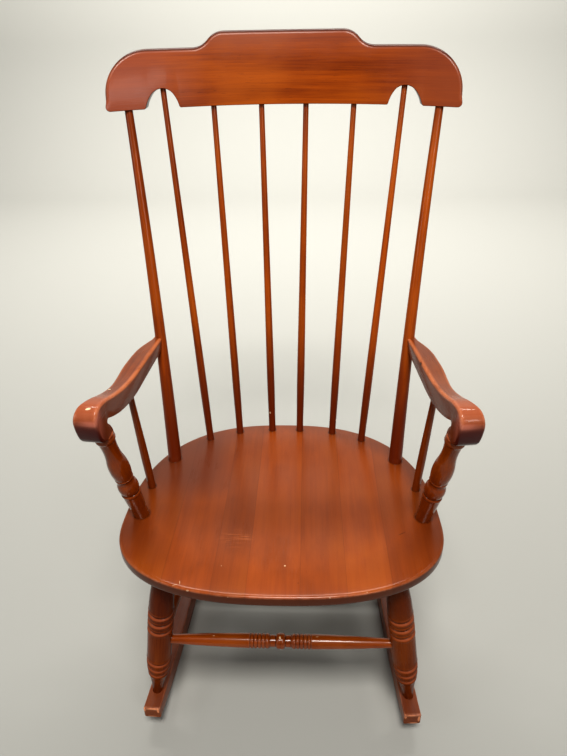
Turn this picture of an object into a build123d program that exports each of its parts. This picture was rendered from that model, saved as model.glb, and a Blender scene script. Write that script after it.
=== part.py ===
"""Spindle-back rocking chair with a sawn crest rail, scroll arms and turned legs.

Millimetres. +X is to the right of someone facing the chair, +Y runs to its back and +Z is up.
The origin is on the floor, on the centre line, midway between the seat's front edge and the rear
rocker tips.
Every stick is a round piece that runs into a drilled socket, with play for the glue.
"""
from build123d import *
from math import acos, copysign, cos, hypot, radians, sin, sqrt
import os

# ---- fits
stick_level = 9.0           # straight part of a stick below its upper socket
glue_play = 0.1             # between a stick and the wall of its socket
socket_gap = 1.0            # past the end of a stick
socket_mouth = 14.0         # how far out a drill starts

# ---- seat
seat_width = 520.0
seat_depth = 445.0
seat_widest = 160.0         # widest line, back from the front edge
seat_squareness = 2.5       # 2 gives an ellipse, more is squarer
seat_thickness = 30.0
seat_band = 17.0            # upright part of the edge, above the undercut
seat_undercut = 20.0        # how far in the underside starts
seat_edge_ease = 2.5
seat_arcs = 16              # arcs that make up its outline
seat_height = 374.0         # top of the front edge
seat_tilt = 2.8             # degrees down to the back
seat_front = -317.5
seat_seams = (-170.0, -96.0, -45.0, 33.0, 100.0, 166.0)
saddle_depth = 6.0
saddle_rim = 46.0           # flat rim left around the hollow
saddle_slope_depth = 4.0    # where its steeper slope ends
saddle_shares = (0.5, 0.78)     # size of its middle, and of the line between its two slopes
saddle_centre = 225.0       # back from the front edge

# ---- rockers
rocker_front_reach = 300.5  # from the origin to the front tip
rocker_rear_reach = 318.4
rocker_width = 29.0
rocker_depth = 42.0         # above the point that touches the floor
rocker_nose_depth = 23.0
rocker_heel_depth = 24.0
rocker_radius = 1000.0      # running edge
rocker_touch = -39.6        # where a chair at rest touches the floor
rocker_spacing = 412.4      # between centre lines at the origin
rocker_toe = 3.2            # degrees that each rocker turns in towards the back
rocker_nose_round = 6.0
rocker_heel_round = 9.0
rocker_edge_round = 2.0

# ---- legs and stretchers
leg_shape = ((0.0, 8.9), (4.0, 8.9), (23.0, 10.8), (44.0, 14.0), (56.0, 16.4), (84.0, 18.9),
             (138.0, 19.4), (182.0, 18.9), (219.0, 18.1), (244.0, 16.8))    # up from the rocker, radius
leg_top_radius = 13.5
leg_top_tenon = 18.0
leg_foot_tenon = 20.0
leg_grooves = (60.5, 76.5, 92.5, 173.5, 191.5, 209.5)      # up from the rocker
leg_groove = 2.2            # half width of a cut ring, and its depth
front_leg_foot = -261.0
rear_leg_foot = 112.0
front_leg_top = (179.0, 69.0)   # on the seat: out from the centre, back from the front edge
rear_leg_top = (150.0, 332.0)
front_stretcher_up = 138.0      # up the leg, to the centre line of the stretcher
rear_stretcher_up = 146.0
side_stretcher_up = 110.0
side_stretcher_rear_up = 114.0
stretcher_tenon = 14.0
stretcher_end_radius = 7.6
stretcher_level = 8.0           # straight part outside the leg
stretcher_swell = 0.6           # of the front stretcher's taper, past a straight line
front_stretcher_radius = 12.0
side_stretcher_radius = 9.8
centre_bead = 8.0               # half length of the middle bead of the front stretcher
centre_bead_radius = 12.6
centre_bead_side = (5.6, 11.9)  # point on its round: along, radius
cove_length = 11.0
cove_radius = 9.6
cove_lip = 2.0                  # where it turns up to the first ring
ring_count = 5
ring_length = 6.2
ring_radius = 12.0
ring_groove = 1.0

# ---- crest rail
crest_width = 568.5
crest_height = 109.0
crest_shoulder = 86.0       # height past the raised centre
crest_raised = 198.0        # width of the flat raised centre
crest_sweep = 34.0          # both arcs of the step down to the shoulder
crest_end_radius = 62.0
crest_corner = 7.0
crest_thickness = 19.0
crest_bend = 620.0          # middle of the thickness
crest_lean = 15.0           # degrees back from upright
crest_bottom = 941.7
crest_back = 246.5          # middle of the lower edge and of the thickness
notch_offset = 199.5
notch_radius = 27.8
notch_rise = 29.0
crest_front_round = 6.0     # along the top and the ends
crest_back_round = 3.0
crest_low_round = 1.0       # along the lower edge and the notches

# ---- back
post_shape = ((0.0, 12.0), (20.0, 12.0), (130.0, 10.9), (255.0, 9.6), (430.0, 8.2))
post_top_radius = 6.7
post_bearing = 33.1         # degrees round the seat, from its right side towards its back
post_inset = 21.5           # in from the edge of the seat
post_crest_inset = 30.5     # in from the end of the crest rail
post_crest_tenon = 26.0
spindle_shape = ((0.0, 6.6), (18.0, 6.6), (105.0, 7.3), (300.0, 6.2), (480.0, 5.2))
spindle_top_radius = 4.7
spindle_bearings = (86.4, 73.0, 57.3)
spindle_inset = 18.5
spindle_gap = 76.0          # between the two middle spindles at the crest rail
spindle_crest_tenon = 20.0
seat_tenon = 20.0

# ---- arms
arm_inside = 217.5          # inner face of an arm, where it meets the back post
arm_rear = 71.5
arm_toe_out = 5.9           # degrees
arm_length = 287.5
arm_height = 585.0          # flat middle part of the top
arm_thickness = 29.5
arm_rear_depth = 20.0
arm_rear_drop = 3.0
arm_rear_width = 15.0
arm_elbow_width = 32.0
arm_elbow_at = 96.0         # forward from the rear end
arm_flank_width = 27.6      # between the rear end and the elbow
arm_flank_at = 38.4
arm_waist_width = 24.5
arm_waist_at = 200.0
arm_front_width = 37.0
arm_climb_at = 117.0        # where the top starts to climb
arm_low_at = 118.0          # lowest line of the underside
arm_tenon = 3.0             # past the rear end
arm_tenon_root = 30.0       # inside the arm
arm_tenon_radius = 5.5
arm_top_round = 4.5
# back from the front of the arm, and up from its flat top
scroll_front = ((52.5, 22.0), (23.0, 28.5), (0.0, 6.0), (4.5, -19.0), (25.5, -34.5))
scroll_heel = ((46.0, -34.5), (42.5, -22.5), (34.0, -10.5))
scroll_throat = ((33.7, -5.5), (37.5, -4.0))
arm_belly = ((59.0, -14.0), (85.0, -22.5))

# ---- arm posts and arm spindles
arm_post_bearing = 0.9
arm_post_inset = 27.5
arm_post_back = 34.2        # top of the post, back from the front of the arm
arm_post_out = 11.0         # and out from its inner face
arm_post_tenon = 26.0
arm_post_tenon_radius = 8.5
arm_post_turning = (        # down from the top, radius: a line, an arc or a curve
    ((0.0, 14.4), (4.2, 15.4), (8.6, 13.6)),
    ((8.6, 13.6), (27.0, 12.0), (47.6, 13.6)),
    ((47.6, 13.6), (74.0, 16.2), (90.0, 14.2)),
    ((90.0, 13.2), (92.6, 14.6), (95.2, 13.2)),
    ((95.2, 13.2), (101.6, 13.6)),
    ((101.6, 13.6), (114.5, 16.6), (126.0, 14.2)),
    ((126.0, 14.2), (129.3, 15.9), (132.6, 15.0)),
    ((132.6, 15.0), (157.0, 13.8), (170.0, 12.9)),
)
arm_post_foot_radius = 12.7
arm_post_level = 12.0       # straight part above the seat
arm_spindle_bearing = 12.9
arm_spindle_inset = 23.5
arm_spindle_shape = ((0.0, 6.6), (18.0, 6.6), (60.0, 6.9), (130.0, 5.9))
arm_spindle_top_radius = 5.1
arm_spindle_at = 143.0      # forward along the arm
arm_spindle_out = 12.5
arm_spindle_tenon = 14.0

# ---- pins
rocker_pin_radius = 3.0
rocker_pin_drop = 11.0      # below the top of the rocker
crest_pin_radius = 1.8
crest_pin_rise = 12.0
crest_pin_cover = 3.0       # wood left in front of the pin
crest_pin_proud = 0.6

seat_plane = Plane(origin=(0, seat_front, seat_height), x_dir=(1, 0, 0),
                   z_dir=(0, sin(radians(seat_tilt)), cos(radians(seat_tilt))))
crest_plane = Plane(origin=(0, crest_back, crest_bottom), x_dir=(1, 0, 0),
                    z_dir=(0, sin(radians(crest_lean)), cos(radians(crest_lean))))
arm_plane = Plane(origin=(arm_inside, arm_rear, 0), z_dir=(0, 0, 1),
                  x_dir=(sin(radians(arm_toe_out)), -cos(radians(arm_toe_out)), 0))


# ---------------------------------------------------------------- helpers
def along(start, end, distance):
    """Point at a distance from start on the way to end."""
    return start + (end - start).normalized() * distance


def rod(start, end, radius):
    """Plain cylinder between two points."""
    axis = end - start
    return Plane(origin=start, z_dir=axis) * Cylinder(
        radius, axis.length, align=(Align.CENTER, Align.CENTER, Align.MIN))


def curve(points):
    """Arc through three points, and straight tapers through any other number."""
    if len(points) == 3:
        return [ThreePointArc(*points)]
    return [Line(*pair) for pair in zip(points, points[1:])]


def turned(segments, start, end):
    """Solid turned on the axis from start to end; segments hold (distance, radius) points."""
    outline = []
    last = None
    for segment in segments:
        points = [(radius, distance) for distance, radius in segment]
        if last and hypot(last[0] - points[0][0], last[1] - points[0][1]) > 1e-6:
            outline.append(Line(last, points[0]))
        outline += curve(points)
        last = points[-1]
    low = segments[0][0][0]
    first_radius = segments[0][0][1]
    outline.append(Line(last, (0, last[1])))
    outline.append(Line((0, last[1]), (0, low)))
    outline.append(Line((0, low), (first_radius, low)))
    body = revolve(Plane.XZ * make_face(Wire(outline)), Axis.Z)
    return Plane(origin=start, z_dir=end - start) * body


def radius_at(shape, distance):
    """Radius of a turning between the points of its shape."""
    for (low, first), (high, second) in zip(shape, shape[1:]):
        if low <= distance <= high:
            return first + (second - first) * (distance - low) / (high - low)
    return shape[-1][1]


def stick(shape, top_radius, start, end, foot_tenon, top_tenon):
    """Tapered stick with a straight part at both ends that goes into its sockets."""
    length = (end - start).length
    body = [point for point in shape if point[0] < length - 2 * stick_level]
    profile = [(-foot_tenon, shape[0][1])] + body + [(length - stick_level, top_radius),
                                                     (length + top_tenon, top_radius)]
    return turned([profile], start, end)


def socket(outside, entry, depth, radius):
    """Drill that comes from a point outside and goes a depth past its entry."""
    mouth = along(entry, outside, socket_mouth)
    return rod(mouth, along(entry, outside, -depth - socket_gap), radius + glue_play)


def other_side(part):
    """The same piece on the chair's left side."""
    return mirror(part, Plane.YZ)


def both_sides(part):
    return part + other_side(part)


# ---------------------------------------------------------------- places
def seat_edge(bearing, inset):
    """Point on the seat: 0 is its right side and 90 the middle of its back."""
    across, back = cos(radians(bearing)), sin(radians(bearing))
    half = seat_width / 2
    reach = seat_depth - seat_widest if back > 0 else seat_widest
    x = half * copysign(abs(across) ** (2 / seat_squareness), across)
    y = reach * copysign(abs(back) ** (2 / seat_squareness), back)
    slope_x = copysign(abs(x / half) ** (seat_squareness - 1), x) / half
    slope_y = copysign(abs(y / reach) ** (seat_squareness - 1), y) / reach
    size = hypot(slope_x, slope_y)
    return x - inset * slope_x / size, seat_widest + y - inset * slope_y / size


def on_seat(x, y, below=0.0):
    return seat_plane.from_local_coords(Vector(x, y, -below))


def on_crest(x, rise):
    """Point in the middle of the crest rail's thickness, a rise above its lower edge."""
    bend = sqrt(crest_bend ** 2 - x ** 2) - crest_bend
    lean = radians(crest_lean)
    height = (rise + bend * sin(lean)) / cos(lean)
    return crest_plane.from_local_coords(Vector(x, bend, height))


def on_arm(forward, out, height):
    return arm_plane.from_local_coords(Vector(forward, out, height))


def rocker_line(y):
    """Distance of a rocker's centre line from the middle of the chair."""
    return rocker_spacing / 2 - y * sin(radians(rocker_toe)) / cos(radians(rocker_toe))


def rocker_rise(y):
    """Height of the running edge above the floor."""
    return rocker_radius - sqrt(rocker_radius ** 2 - (y - rocker_touch) ** 2)


def rocker_top_edge():
    """Upper edge of a rocker: nose, middle and heel, as (back, up)."""
    front, rear = -rocker_front_reach, rocker_rear_reach
    return ((front, rocker_rise(front) + rocker_nose_depth), (rocker_touch, rocker_depth),
            (rear, rocker_rise(rear) + rocker_heel_depth))


def on_rocker(y):
    """Point on top of a rocker, on its centre line."""
    edge = ThreePointArc(*rocker_top_edge())
    centre, radius = edge.arc_center, edge.radius
    return Vector(rocker_line(y), y, centre.Y - sqrt(radius ** 2 - (y - centre.X) ** 2))


# ---------------------------------------------------------------- axes of the sticks
def post_axis():
    foot = on_seat(*seat_edge(post_bearing, post_inset))
    return foot, on_crest(crest_width / 2 - post_crest_inset, 0)


def spindle_axes():
    """Back spindles on the right side, from the middle outwards."""
    outer = notch_offset
    inner = spindle_gap / 2
    tops = ((inner, 0), ((inner + outer) / 2, 0), (outer, notch_rise))
    return [(on_seat(*seat_edge(bearing, spindle_inset)), on_crest(*top))
            for bearing, top in zip(spindle_bearings, tops)]


def arm_post_axis():
    foot = on_seat(*seat_edge(arm_post_bearing, arm_post_inset))
    return foot, on_arm(arm_length - arm_post_back, arm_post_out, arm_height + scroll_front[-1][1])


def arm_spindle_axis():
    foot = on_seat(*seat_edge(arm_spindle_bearing, arm_spindle_inset))
    return foot, on_arm(arm_spindle_at, arm_spindle_out, arm_height - arm_thickness)


def leg_axis(foot, top):
    return on_rocker(foot), on_seat(*top, below=seat_thickness)


def front_leg_axis():
    return leg_axis(front_leg_foot, front_leg_top)


def rear_leg_axis():
    return leg_axis(rear_leg_foot, rear_leg_top)


def flipped(point):
    return Vector(-point.X, point.Y, point.Z)


def stretcher_axis(start_leg, start_up, end_leg, end_up):
    """Line between two legs, from tenon end to tenon end."""
    start = along(*start_leg, start_up)
    end = along(*end_leg, end_up)
    start_depth = radius_at(leg_shape, start_up) - stretcher_tenon
    end_depth = radius_at(leg_shape, end_up) - stretcher_tenon
    return along(start, end, start_depth), along(end, start, end_depth)


def cross_axis(leg, up):
    """Axis of a stretcher from the left leg to the right one."""
    other = (flipped(leg[0]), flipped(leg[1]))
    return stretcher_axis(other, up, leg, up)


def side_axis():
    return stretcher_axis(front_leg_axis(), side_stretcher_up, rear_leg_axis(), side_stretcher_rear_up)


# ---------------------------------------------------------------- seat
def seat_outline(inset, share=1.0):
    """Ring of arcs along the seat's edge, moved in by an inset and then shrunk to a share."""
    def point(bearing):
        x, y = seat_edge(bearing, inset)
        return x * share, saddle_centre + (y - saddle_centre) * share

    turn = 360 / seat_arcs
    arcs = [ThreePointArc(*[point(turn * (number + part)) for part in (0, 0.5, 1)])
            for number in range(seat_arcs)]
    return make_face(Wire(arcs))


def seat_layer(*levels):
    """Solid through the seat's outline at each level, as (height, inset and share)."""
    return loft([Plane.XY.offset(height) * seat_outline(*shape) for height, *shape in levels], ruled=True)


def seat_blank():
    """Whole seat in its own plane, before it is bored."""
    eased = seat_layer((-seat_edge_ease, 0), (0, seat_edge_ease))
    band = seat_layer((-seat_band, 0), (-seat_edge_ease, 0))
    lower = seat_layer((-seat_thickness, seat_undercut), (-seat_band, 0))
    return eased + band + lower


def saddle():
    """Hollow of the seat: a steeper slope inside its rim, then a gentler one."""
    inner, slope = saddle_shares
    rim = seat_layer((0, saddle_rim), (seat_thickness, saddle_rim))
    steep = seat_layer((-saddle_slope_depth, saddle_rim, slope), (0, saddle_rim))
    gentle = seat_layer((-saddle_depth, saddle_rim, inner), (-saddle_slope_depth, saddle_rim, slope))
    return rim + steep + gentle


def seat_bores():
    """Sockets for everything that stands in the seat or carries it."""
    bores = [socket(post_axis()[1], post_axis()[0], seat_tenon, post_shape[0][1])]
    for foot, top in spindle_axes():
        bores.append(socket(top, foot, seat_tenon, spindle_shape[0][1]))
    foot, top = arm_post_axis()
    bores.append(socket(top, foot, seat_tenon, arm_post_foot_radius))
    foot, top = arm_spindle_axis()
    bores.append(socket(top, foot, seat_tenon, arm_spindle_shape[0][1]))
    for foot, top in (front_leg_axis(), rear_leg_axis()):
        bores.append(socket(foot, top, leg_top_tenon, leg_top_radius))
    return bores


def seat_boards():
    """Edge-glued boards from left to right."""
    seat = seat_plane * (seat_blank() - saddle())
    for bore in seat_bores():
        seat = seat - bore - other_side(bore)
    limits = (-seat_width,) + seat_seams + (seat_width,)
    boards = []
    for left, right in zip(limits, limits[1:]):
        strip = Box(right - left, 2 * seat_depth, 4 * seat_thickness,
                    align=(Align.MIN, Align.CENTER, Align.CENTER))
        boards.append(seat & (seat_plane * (Pos(left, seat_depth / 2, 0) * strip)))
    return boards


# ---------------------------------------------------------------- rockers
def rocker_pins():
    """Cross pins through the right rocker and the feet of its legs."""
    pins = []
    across = rocker_plane().x_dir * (rocker_width / 2)
    for foot, top in (front_leg_axis(), rear_leg_axis()):
        centre = along(foot, top, -rocker_pin_drop)
        pins.append(rod(centre - across, centre + across, rocker_pin_radius))
    return pins


def rocker_plane():
    """Plane on the floor with its y axis along the right rocker."""
    toe = radians(rocker_toe)
    return Plane(origin=(rocker_spacing / 2, 0, 0), x_dir=(cos(toe), sin(toe), 0), z_dir=(0, 0, 1))


def rocker():
    """Board with an arched running edge, sawn in its own upright plane."""
    nose, middle_top, heel = rocker_top_edge()
    low_nose = (nose[0], rocker_rise(nose[0]))
    low_heel = (heel[0], rocker_rise(heel[0]))
    outline = Wire([ThreePointArc(nose, middle_top, heel), Line(heel, low_heel),
                    ThreePointArc(low_heel, (rocker_touch, 0), low_nose), Line(low_nose, nose)])
    face = make_face(outline)
    nose_corner = face.vertices().sort_by_distance((*nose, 0))[0]
    face = fillet(nose_corner, rocker_nose_round)
    heel_corner = face.vertices().sort_by_distance((*heel, 0))[0]
    face = fillet(heel_corner, rocker_heel_round)
    board = extrude(Plane.YZ * face, rocker_width / 2, both=True)
    rims = [edge for edge in board.edges() if abs((edge @ 0).X - (edge @ 1).X) < 1e-6]
    body = rocker_plane() * fillet(rims, rocker_edge_round)
    for foot, top in (front_leg_axis(), rear_leg_axis()):
        body -= socket(top, foot, leg_foot_tenon, leg_shape[0][1])
    for pin in rocker_pins():
        body -= pin
    return body


# ---------------------------------------------------------------- legs and stretchers
def leg(axis, stretchers):
    """Turned leg with two groups of cut rings, bored for its stretchers and its pin."""
    foot, top = axis
    rings = [(up + side, radius_at(leg_shape, up + side) - (0 if side else leg_groove))
             for up in leg_grooves for side in (-leg_groove, 0, leg_groove)]
    body = stick(sorted(leg_shape + tuple(rings)), leg_top_radius, foot, top, leg_foot_tenon, leg_top_tenon)
    for start, end in stretchers:
        body -= socket(start, along(end, start, stretcher_tenon), stretcher_tenon, stretcher_end_radius)
    for pin in rocker_pins():
        body -= pin
    return body


def plain_stretcher(axis, radius):
    """Stretcher that swells to its middle."""
    start, end = axis
    length = (end - start).length
    low = stretcher_end_radius
    shoulder = stretcher_tenon + stretcher_level
    swell = ((shoulder, low), (length / 2, radius), (length - shoulder, low))
    segments = [((0, low), swell[0]), swell, (swell[-1], (length, low))]
    return turned(segments, start, end)


def ringed_stretcher(axis):
    """Front stretcher: a bead between two coves, then a run of fine rings on each side."""
    start, end = axis
    half = (end - start).length / 2
    low = stretcher_end_radius
    edge = centre_bead + cove_length
    valley = ring_radius - ring_groove
    right = [((0, centre_bead_radius), centre_bead_side, (centre_bead, cove_radius)),
             ((centre_bead, cove_radius), (edge - cove_lip, cove_radius), (edge, valley))]
    for ring in range(ring_count):
        right.append(((edge, valley), (edge + ring_length / 2, ring_radius), (edge + ring_length, valley)))
        edge += ring_length
    shank = half - stretcher_tenon - stretcher_level
    middle = ((edge + shank) / 2, (front_stretcher_radius + low) / 2 + stretcher_swell)
    right.append(((edge, front_stretcher_radius), middle, (shank, low)))
    right.append(((shank, low), (half, low)))
    left = [[(-distance, radius) for distance, radius in reversed(segment)] for segment in reversed(right)]
    return turned(left + right, (start + end) / 2, end)


# ---------------------------------------------------------------- crest rail and back
def crest_outline():
    """Front view of the rail: raised centre, ogee steps, round ends and two arched notches."""
    half, flat = crest_width / 2, crest_raised / 2
    drop = crest_height - crest_shoulder
    run = sqrt(crest_sweep * drop - drop ** 2 / 4)
    step_middle = (flat + run, crest_height - drop / 2)
    step_foot = (flat + 2 * run, crest_shoulder)
    fall = radians(90) - acos(run / crest_sweep)
    falling = (cos(fall), -sin(fall))
    side = [TangentArc((flat, crest_height), step_middle, tangent=(1, 0)),
            TangentArc(step_middle, step_foot, tangent=falling),
            Line(step_foot, (half - crest_end_radius, crest_shoulder)),
            TangentArc((half - crest_end_radius, crest_shoulder), (half, crest_shoulder - crest_end_radius),
                       tangent=(1, 0)),
            Line((half, crest_shoulder - crest_end_radius), (half, crest_corner)),
            TangentArc((half, crest_corner), (half - crest_corner, 0), tangent=(0, -1))]
    top = Line((-flat, crest_height), (flat, crest_height))
    bottom = Line((half - crest_corner, 0), (crest_corner - half, 0))
    face = make_face(Wire([top, bottom] + side + [edge.mirror(Plane.YZ) for edge in side]))
    centre = notch_rise - notch_radius
    arch = Pos(notch_offset, centre) * Circle(notch_radius)
    throat = Pos(notch_offset, 0) * Rectangle(2 * notch_radius, 2 * centre)
    notch = arch + throat
    return face - notch - mirror(notch, Plane.YZ)


def crest_blank():
    """Bent board that leans back, before it is sawn to its outline."""
    reach = crest_height * 2
    ring = Circle(crest_bend + crest_thickness / 2) - Circle(crest_bend - crest_thickness / 2)
    board = extrude(crest_plane * (Pos(0, -crest_bend) * ring), reach, both=True)
    front = Pos(0, crest_back, crest_bottom) * Box(2 * crest_width, crest_bend, 4 * crest_height)
    return board & front


def crest_rims(body, side):
    """Edges of the rail's front face (side -1) or back face (side 1)."""
    rims = []
    for edge in body.edges():
        middle = crest_plane.to_local_coords(edge @ 0.5)
        depth = hypot(middle.X, middle.Y + crest_bend) - crest_bend
        if abs(depth - side * crest_thickness / 2) < 0.2:
            rims.append(edge)
    return rims


def crest_rail():
    """Bent board sawn to its outline, rounded, then bored."""
    cut = Plane(origin=(0, crest_back, crest_bottom), x_dir=(1, 0, 0), z_dir=(0, -1, 0))
    body = crest_blank() & extrude(cut * crest_outline(), crest_width / 2, both=True)
    notch_top = crest_bottom + notch_rise + crest_corner
    for side, radius in ((-1, crest_front_round), (1, crest_back_round)):
        body = fillet([rim for rim in crest_rims(body, side) if (rim @ 0.5).Z > notch_top], radius)
    low = [rim for side in (-1, 1) for rim in crest_rims(body, side) if (rim @ 0.5).Z < notch_top]
    body = fillet(low, crest_low_round)
    body = body - both_sides(socket(*post_axis(), post_crest_tenon, post_top_radius))
    for foot, top in spindle_axes():
        body = body - both_sides(socket(foot, top, spindle_crest_tenon, spindle_top_radius))
    return body - both_sides(crest_pin())


def crest_pin():
    """Pin from the back of the rail through the tenon of a back post."""
    foot, top = post_axis()
    centre = along(top, foot, -crest_pin_rise)
    angle = radians(crest_lean)
    side = top.X / crest_bend
    back = sqrt(1 - side ** 2)
    outward = Vector(side, cos(angle) * back, -sin(angle) * back)
    reach = crest_thickness / 2
    return rod(centre - outward * (reach - crest_pin_cover), centre + outward * (reach + crest_pin_proud),
               crest_pin_radius)


def back_post():
    foot, top = post_axis()
    body = stick(post_shape, post_top_radius, foot, top, seat_tenon, post_crest_tenon)
    return body - crest_pin() - arm_end_socket()


# ---------------------------------------------------------------- arms
def arm_end_centre():
    """Middle of the rear end of the arm."""
    return on_arm(0, arm_rear_width / 2, arm_height - arm_rear_drop - arm_rear_depth / 2)


def arm_end_axis():
    """Axis of the round tenon that the arm pushes into the back post."""
    centre = arm_end_centre()
    return centre + arm_plane.x_dir * arm_tenon_root, centre - arm_plane.x_dir * arm_tenon


def arm_end_socket():
    front, back = arm_end_axis()
    return rod(front, along(front, back, (back - front).length + socket_gap), arm_tenon_radius + glue_play)


def arm_side():
    """Side view of an arm: forward and up, with the scroll at the front."""
    def scroll(points):
        return [(arm_length - back, arm_height + up) for back, up in points]

    climb, crown, nose, chin, foot = scroll(scroll_front)
    heel = scroll(scroll_heel)
    throat = scroll(scroll_throat)
    belly = scroll(arm_belly)
    rear_top = (0, arm_height - arm_rear_drop)
    rear_low = (0, arm_height - arm_rear_drop - arm_rear_depth)
    low = (arm_low_at, arm_height - arm_thickness)
    upper = TangentArc((arm_climb_at, arm_height), climb, tangent=(1, 0))
    over = TangentArc(climb, crown, tangent=upper % 1)
    round_nose = TangentArc(crown, nose, tangent=over % 1)
    round_chin = TangentArc(nose, chin, tangent=round_nose % 1)
    round_foot = TangentArc(chin, foot, tangent=round_chin % 1)
    hollow = ThreePointArc(throat[-1], *belly)
    return make_face(Wire([
        Line(rear_top, (arm_climb_at, arm_height)), upper, over, round_nose, round_chin, round_foot,
        Line(foot, heel[0]), ThreePointArc(*heel), ThreePointArc(heel[-1], *throat),
        hollow, TangentArc(belly[-1], low, tangent=hollow % 1),
        Line(low, rear_low), Line(rear_low, rear_top)]))


def arm_plan():
    """Top view of an arm: forward and out from the straight inner face."""
    end = arm_length + 1
    front = (end, arm_front_width)
    elbow = (arm_elbow_at, arm_elbow_width)
    turn = ((arm_elbow_at + arm_waist_at) / 2, (arm_elbow_width + arm_waist_width) / 2)
    shoulder = TangentArc(elbow, turn, tangent=(1, 0))
    waist = TangentArc(turn, (arm_waist_at, arm_waist_width), tangent=shoulder % 1)
    return make_face(Wire([
        ThreePointArc((0, arm_rear_width), (arm_flank_at, arm_flank_width), elbow), shoulder, waist,
        TangentArc((arm_waist_at, arm_waist_width), front, tangent=(1, 0)),
        Line(front, (end, 0)), Line((end, 0), (0, 0)), Line((0, 0), (0, arm_rear_width))]))


def arm_rims(body):
    """Edges that run along an arm: not those across it, up its sides or round its rear end."""
    rims = []
    for edge in body.edges():
        step = (edge @ 1) - (edge @ 0)
        straight = edge.geom_type == GeomType.LINE
        across = straight and hypot(step.X, step.Z) < 1e-3
        upright = straight and hypot(step.X, step.Y) < 1e-3
        if not across and not upright and (edge @ 0.5).X > arm_thickness / 2:
            rims.append(edge)
    return rims


def arm_blank():
    """Side view and top view sawn from one block, with the upper edges rounded down to the chin."""
    side = extrude(Plane.XZ * arm_side(), -2 * arm_front_width)
    plan = extrude(Pos(0, 0, arm_height) * arm_plan(), arm_length, both=True)
    body = side & plan
    roll = arm_length - scroll_front[-1][0]
    top = arm_height - arm_rear_drop - 1
    upper = [rim for rim in arm_rims(body) if (rim @ 0.5).Z > top or (rim @ 0.5).X > roll]
    return fillet(upper, arm_top_round)


def arm():
    """Scroll arm, coped to the back post and bored."""
    body = arm_plane * arm_blank()
    foot, top = post_axis()
    body -= stick(tuple((up, radius + glue_play) for up, radius in post_shape), post_top_radius,
                  foot, top, socket_gap, socket_gap)
    front, back = arm_end_axis()
    body += rod(front, back, arm_tenon_radius)
    foot, top = arm_post_axis()
    body -= socket(foot, top, arm_post_tenon, arm_post_tenon_radius)
    foot, top = arm_spindle_axis()
    body -= socket(foot, top, arm_spindle_tenon, arm_spindle_top_radius)
    return body


def arm_post():
    """Turned post: vase, bead and rings, cut level under the scroll of the arm."""
    foot, top = arm_post_axis()
    length = (foot - top).length
    collar = arm_post_turning[0][0][1]
    last_down, last_radius = arm_post_turning[-1][-1]
    level = (length - arm_post_level, arm_post_foot_radius)
    segments = (((-stick_level, collar), (0, collar)),) + arm_post_turning + (
        ((last_down, last_radius), level), (level, (length + seat_tenon, arm_post_foot_radius)))
    body = split(turned(segments, top, foot), Plane.XY.offset(top.Z - glue_play), keep=Keep.BOTTOM)
    return body + rod(along(top, foot, stick_level), along(top, foot, -arm_post_tenon), arm_post_tenon_radius)


# ---------------------------------------------------------------- assembly
def pieces():
    """Every node with its solids."""
    parts = {}
    for number, board in enumerate(seat_boards(), 1):
        parts[f"seat_board_{number}"] = board
    parts["crest_rail"] = crest_rail()
    cross = cross_axis(front_leg_axis(), front_stretcher_up)
    rear_cross = cross_axis(rear_leg_axis(), rear_stretcher_up)
    side = side_axis()
    paired = {
        "back_post": back_post(),
        "arm": arm(),
        "arm_post": arm_post(),
        "arm_spindle": stick(arm_spindle_shape, arm_spindle_top_radius, *arm_spindle_axis(),
                             seat_tenon, arm_spindle_tenon),
        "front_leg": leg(front_leg_axis(), (cross, (side[1], side[0]))),
        "rear_leg": leg(rear_leg_axis(), (rear_cross, side)),
        "side_stretcher": plain_stretcher(side, side_stretcher_radius),
        "rocker": rocker(),
    }
    for number, (foot, top) in enumerate(spindle_axes(), 1):
        paired[f"back_spindle_{number}"] = stick(spindle_shape, spindle_top_radius, foot, top,
                                                 seat_tenon, spindle_crest_tenon)
    for name, part in paired.items():
        parts[name + "_right"] = part
        parts[name + "_left"] = other_side(part)
    parts["front_stretcher"] = ringed_stretcher(cross)
    parts["rear_stretcher"] = plain_stretcher(rear_cross, side_stretcher_radius)
    parts["rocker_pins"] = Compound(children=rocker_pins() + [other_side(pin) for pin in rocker_pins()])
    parts["crest_pins"] = Compound(children=[crest_pin(), other_side(crest_pin())])
    return parts


os.makedirs("parts", exist_ok=True)
for name, part in pieces().items():
    export_step(part, f"parts/{name}.step")
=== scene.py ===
"""Rocking chair with a bent crest rail, scroll arms and turned legs, in worn stained wood."""
import math

import bmesh
import bpy
from bpy.props import FloatProperty, FloatVectorProperty, IntProperty, PointerProperty
from mathutils import Matrix, Vector


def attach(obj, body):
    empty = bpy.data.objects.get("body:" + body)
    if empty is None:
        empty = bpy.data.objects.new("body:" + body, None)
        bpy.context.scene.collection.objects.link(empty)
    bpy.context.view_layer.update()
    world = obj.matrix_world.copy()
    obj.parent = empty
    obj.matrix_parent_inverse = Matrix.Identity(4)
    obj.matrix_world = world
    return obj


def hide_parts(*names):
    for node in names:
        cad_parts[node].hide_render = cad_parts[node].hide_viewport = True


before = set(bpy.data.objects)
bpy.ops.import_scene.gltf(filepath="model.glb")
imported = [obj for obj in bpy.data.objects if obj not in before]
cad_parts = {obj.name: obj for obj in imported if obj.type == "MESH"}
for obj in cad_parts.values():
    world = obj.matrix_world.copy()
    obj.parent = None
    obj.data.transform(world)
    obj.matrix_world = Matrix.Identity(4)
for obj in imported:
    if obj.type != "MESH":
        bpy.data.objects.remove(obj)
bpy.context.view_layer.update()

bl_info = {
    "name": "Rocking Chair",
    "version": (1, 0, 0),
    "blender": (4, 5, 0),
    "location": "View3D > Sidebar > Chair",
    "description": "Builds a spindle-back rocking chair with scroll arms in stained wood",
    "category": "Add Mesh",
}

MM = 0.001
BODY = "root"

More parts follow.
